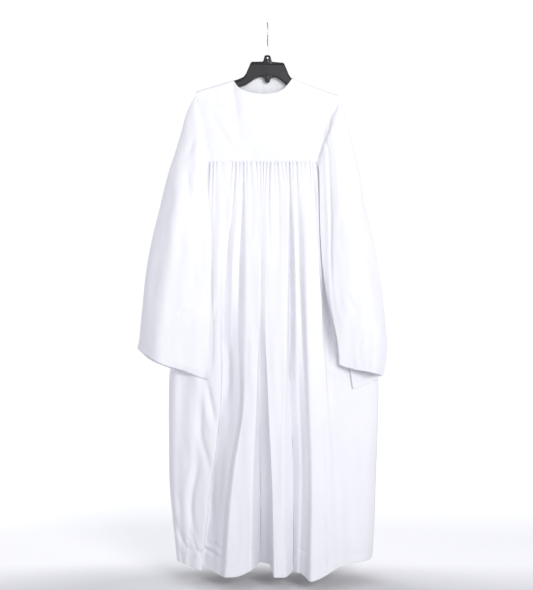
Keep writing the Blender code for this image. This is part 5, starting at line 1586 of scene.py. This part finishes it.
def floor_finish():
    """Pale floor with painted shade round the place under the gown, painted lighter just under it, and a
    painted glow behind it and far away.
    """
    look = Finish("pale floor", Roughness=0.9, Specular_IOR_Level=0.1, Emission_Color=(1.0, 1.0, 1.0, 1.0))
    mottle = look.noise(look.solid, 3.0, Detail=4.0)
    pale = look.ramp(mottle, (0.3, (0.93, 0.93, 0.94, 1)), (0.7, (0.95, 0.95, 0.955, 1)))
    squeeze = (look.solid, (1.0, SHADE_PAINT_SQUEEZE, 1.0))
    squeezed = look.make("VectorMath", {"operation": "MULTIPLY"}, squeeze).outputs["Vector"]
    away = look.make("VectorMath", {"operation": "DISTANCE"}, (squeezed, SHADE_PAINT_PLACE)).outputs["Value"]
    # Painted shade: a darker ring round the place under the gown, painted lighter just under it
    centre, painted_shade_ring, edge = (0.97, 0.97, 0.975, 1), (0.74, 0.74, 0.745, 1), (0.84, 0.84, 0.845, 1)
    painted_floor_shade = look.ramp(away, (0.0, centre), (0.3, painted_shade_ring), (0.67, edge))
    start, full = FLOOR_GLOW_BEHIND
    # Painted glow: the floor gives off light behind the gown and far away
    depth = look.make("SeparateXYZ", Vector=look.solid).outputs["Y"]
    behind = look.ranged(depth, From_Min=start, From_Max=full, To_Max=FLOOR_GLOW)
    near = look.ranged(away, From_Max=FLOOR_GLOW_REACH, To_Max=behind)
    start, full = FAR_GLOW_RANGE
    far = look.ranged(away, From_Min=start, From_Max=full, To_Max=FAR_GLOW)
    glow = look.math("ADD", near, far)
    return look.feed(look.shader, Base_Color=look.tinted(1.0, pale, painted_floor_shade), Emission_Strength=glow)


def build_backdrop():
    """A white backdrop that the camera sees, and that lights nothing."""
    glow = bpy.data.materials.new("white backdrop")
    glow.use_nodes = True
    nodes = glow.node_tree.nodes
    nodes.remove(nodes["Principled BSDF"])
    light = nodes.new("ShaderNodeEmission")
    light.inputs["Color"].default_value = (1.0, 1.0, 1.0, 1.0)
    light.inputs["Strength"].default_value = BACKDROP_STRENGTH
    glow.node_tree.links.new(light.outputs["Emission"], nodes["Material Output"].inputs["Surface"])
    angles = np.linspace(*BACKDROP_ANGLES, BACKDROP_RINGS)
    profile = [(STAGE_R * math.cos(angle), STAGE_R * math.sin(angle)) for angle in angles]
    points, faces = lathe(profile, (0, 0, FLOOR_Z))
    dome = mesh_object("backdrop", points, [face[::-1] for face in faces], glow)
    for kind in ("diffuse", "glossy", "transmission", "shadow", "volume_scatter"):
        setattr(dome, f"visible_{kind}", False)


def build_stage():
    """A pale floor under the gown, a white backdrop, even white surroundings and two soft lights."""
    angles = [2 * math.pi * k / FLOOR_SIDES for k in range(FLOOR_SIDES)]
    ring = [(STAGE_R * math.cos(angle), STAGE_R * math.sin(angle), FLOOR_Z) for angle in angles]
    mesh_object("floor", ring, [tuple(range(FLOOR_SIDES))], floor_finish())
    build_backdrop()

    world = bpy.data.worlds.new("white surroundings")
    bpy.context.scene.world = world
    world.use_nodes = True
    sky = world.node_tree.nodes["Background"]
    sky.inputs["Color"].default_value = SKY_COLOUR
    sky.inputs["Strength"].default_value = SKY_STRENGTH

    for name, place, size, power, colour in LIGHTS:
        lamp = bpy.data.lights.new(name, "AREA")
        lamp.shape = "DISK"
        lamp.size = size
        lamp.energy = power
        lamp.color = colour
        thing = bpy.data.objects.new(name, lamp)
        bpy.context.scene.collection.objects.link(thing)
        thing.location = place
        aim = Vector(LIGHT_AIM) - Vector(place)
        thing.rotation_euler = aim.to_track_quat("-Z", "Y").to_euler()


def build_camera():
    """A level camera in front of the gown, and plain colours."""
    camera = bpy.data.cameras.new("camera")
    camera.lens = CAMERA_LENS
    camera.clip_end = CAMERA_REACH
    thing = bpy.data.objects.new("camera", camera)
    bpy.context.scene.collection.objects.link(thing)
    thing.location = CAMERA_PLACE
    thing.rotation_euler = (math.radians(90), 0.0, 0.0)
    bpy.context.scene.camera = thing
    bpy.context.scene.view_settings.view_transform = "Standard"
    bpy.context.scene.view_settings.look = "None"


build_camera()
cotton = cotton_finish()
thread = thread_finish()
plastic = plastic_finish()
steel = steel_finish()
pearl = pearl_finish()
# Painted shade for the buttons' holes
hole_shade = hole_finish()
build_hanger()
pieces, facings = build_gown()
build_stage()
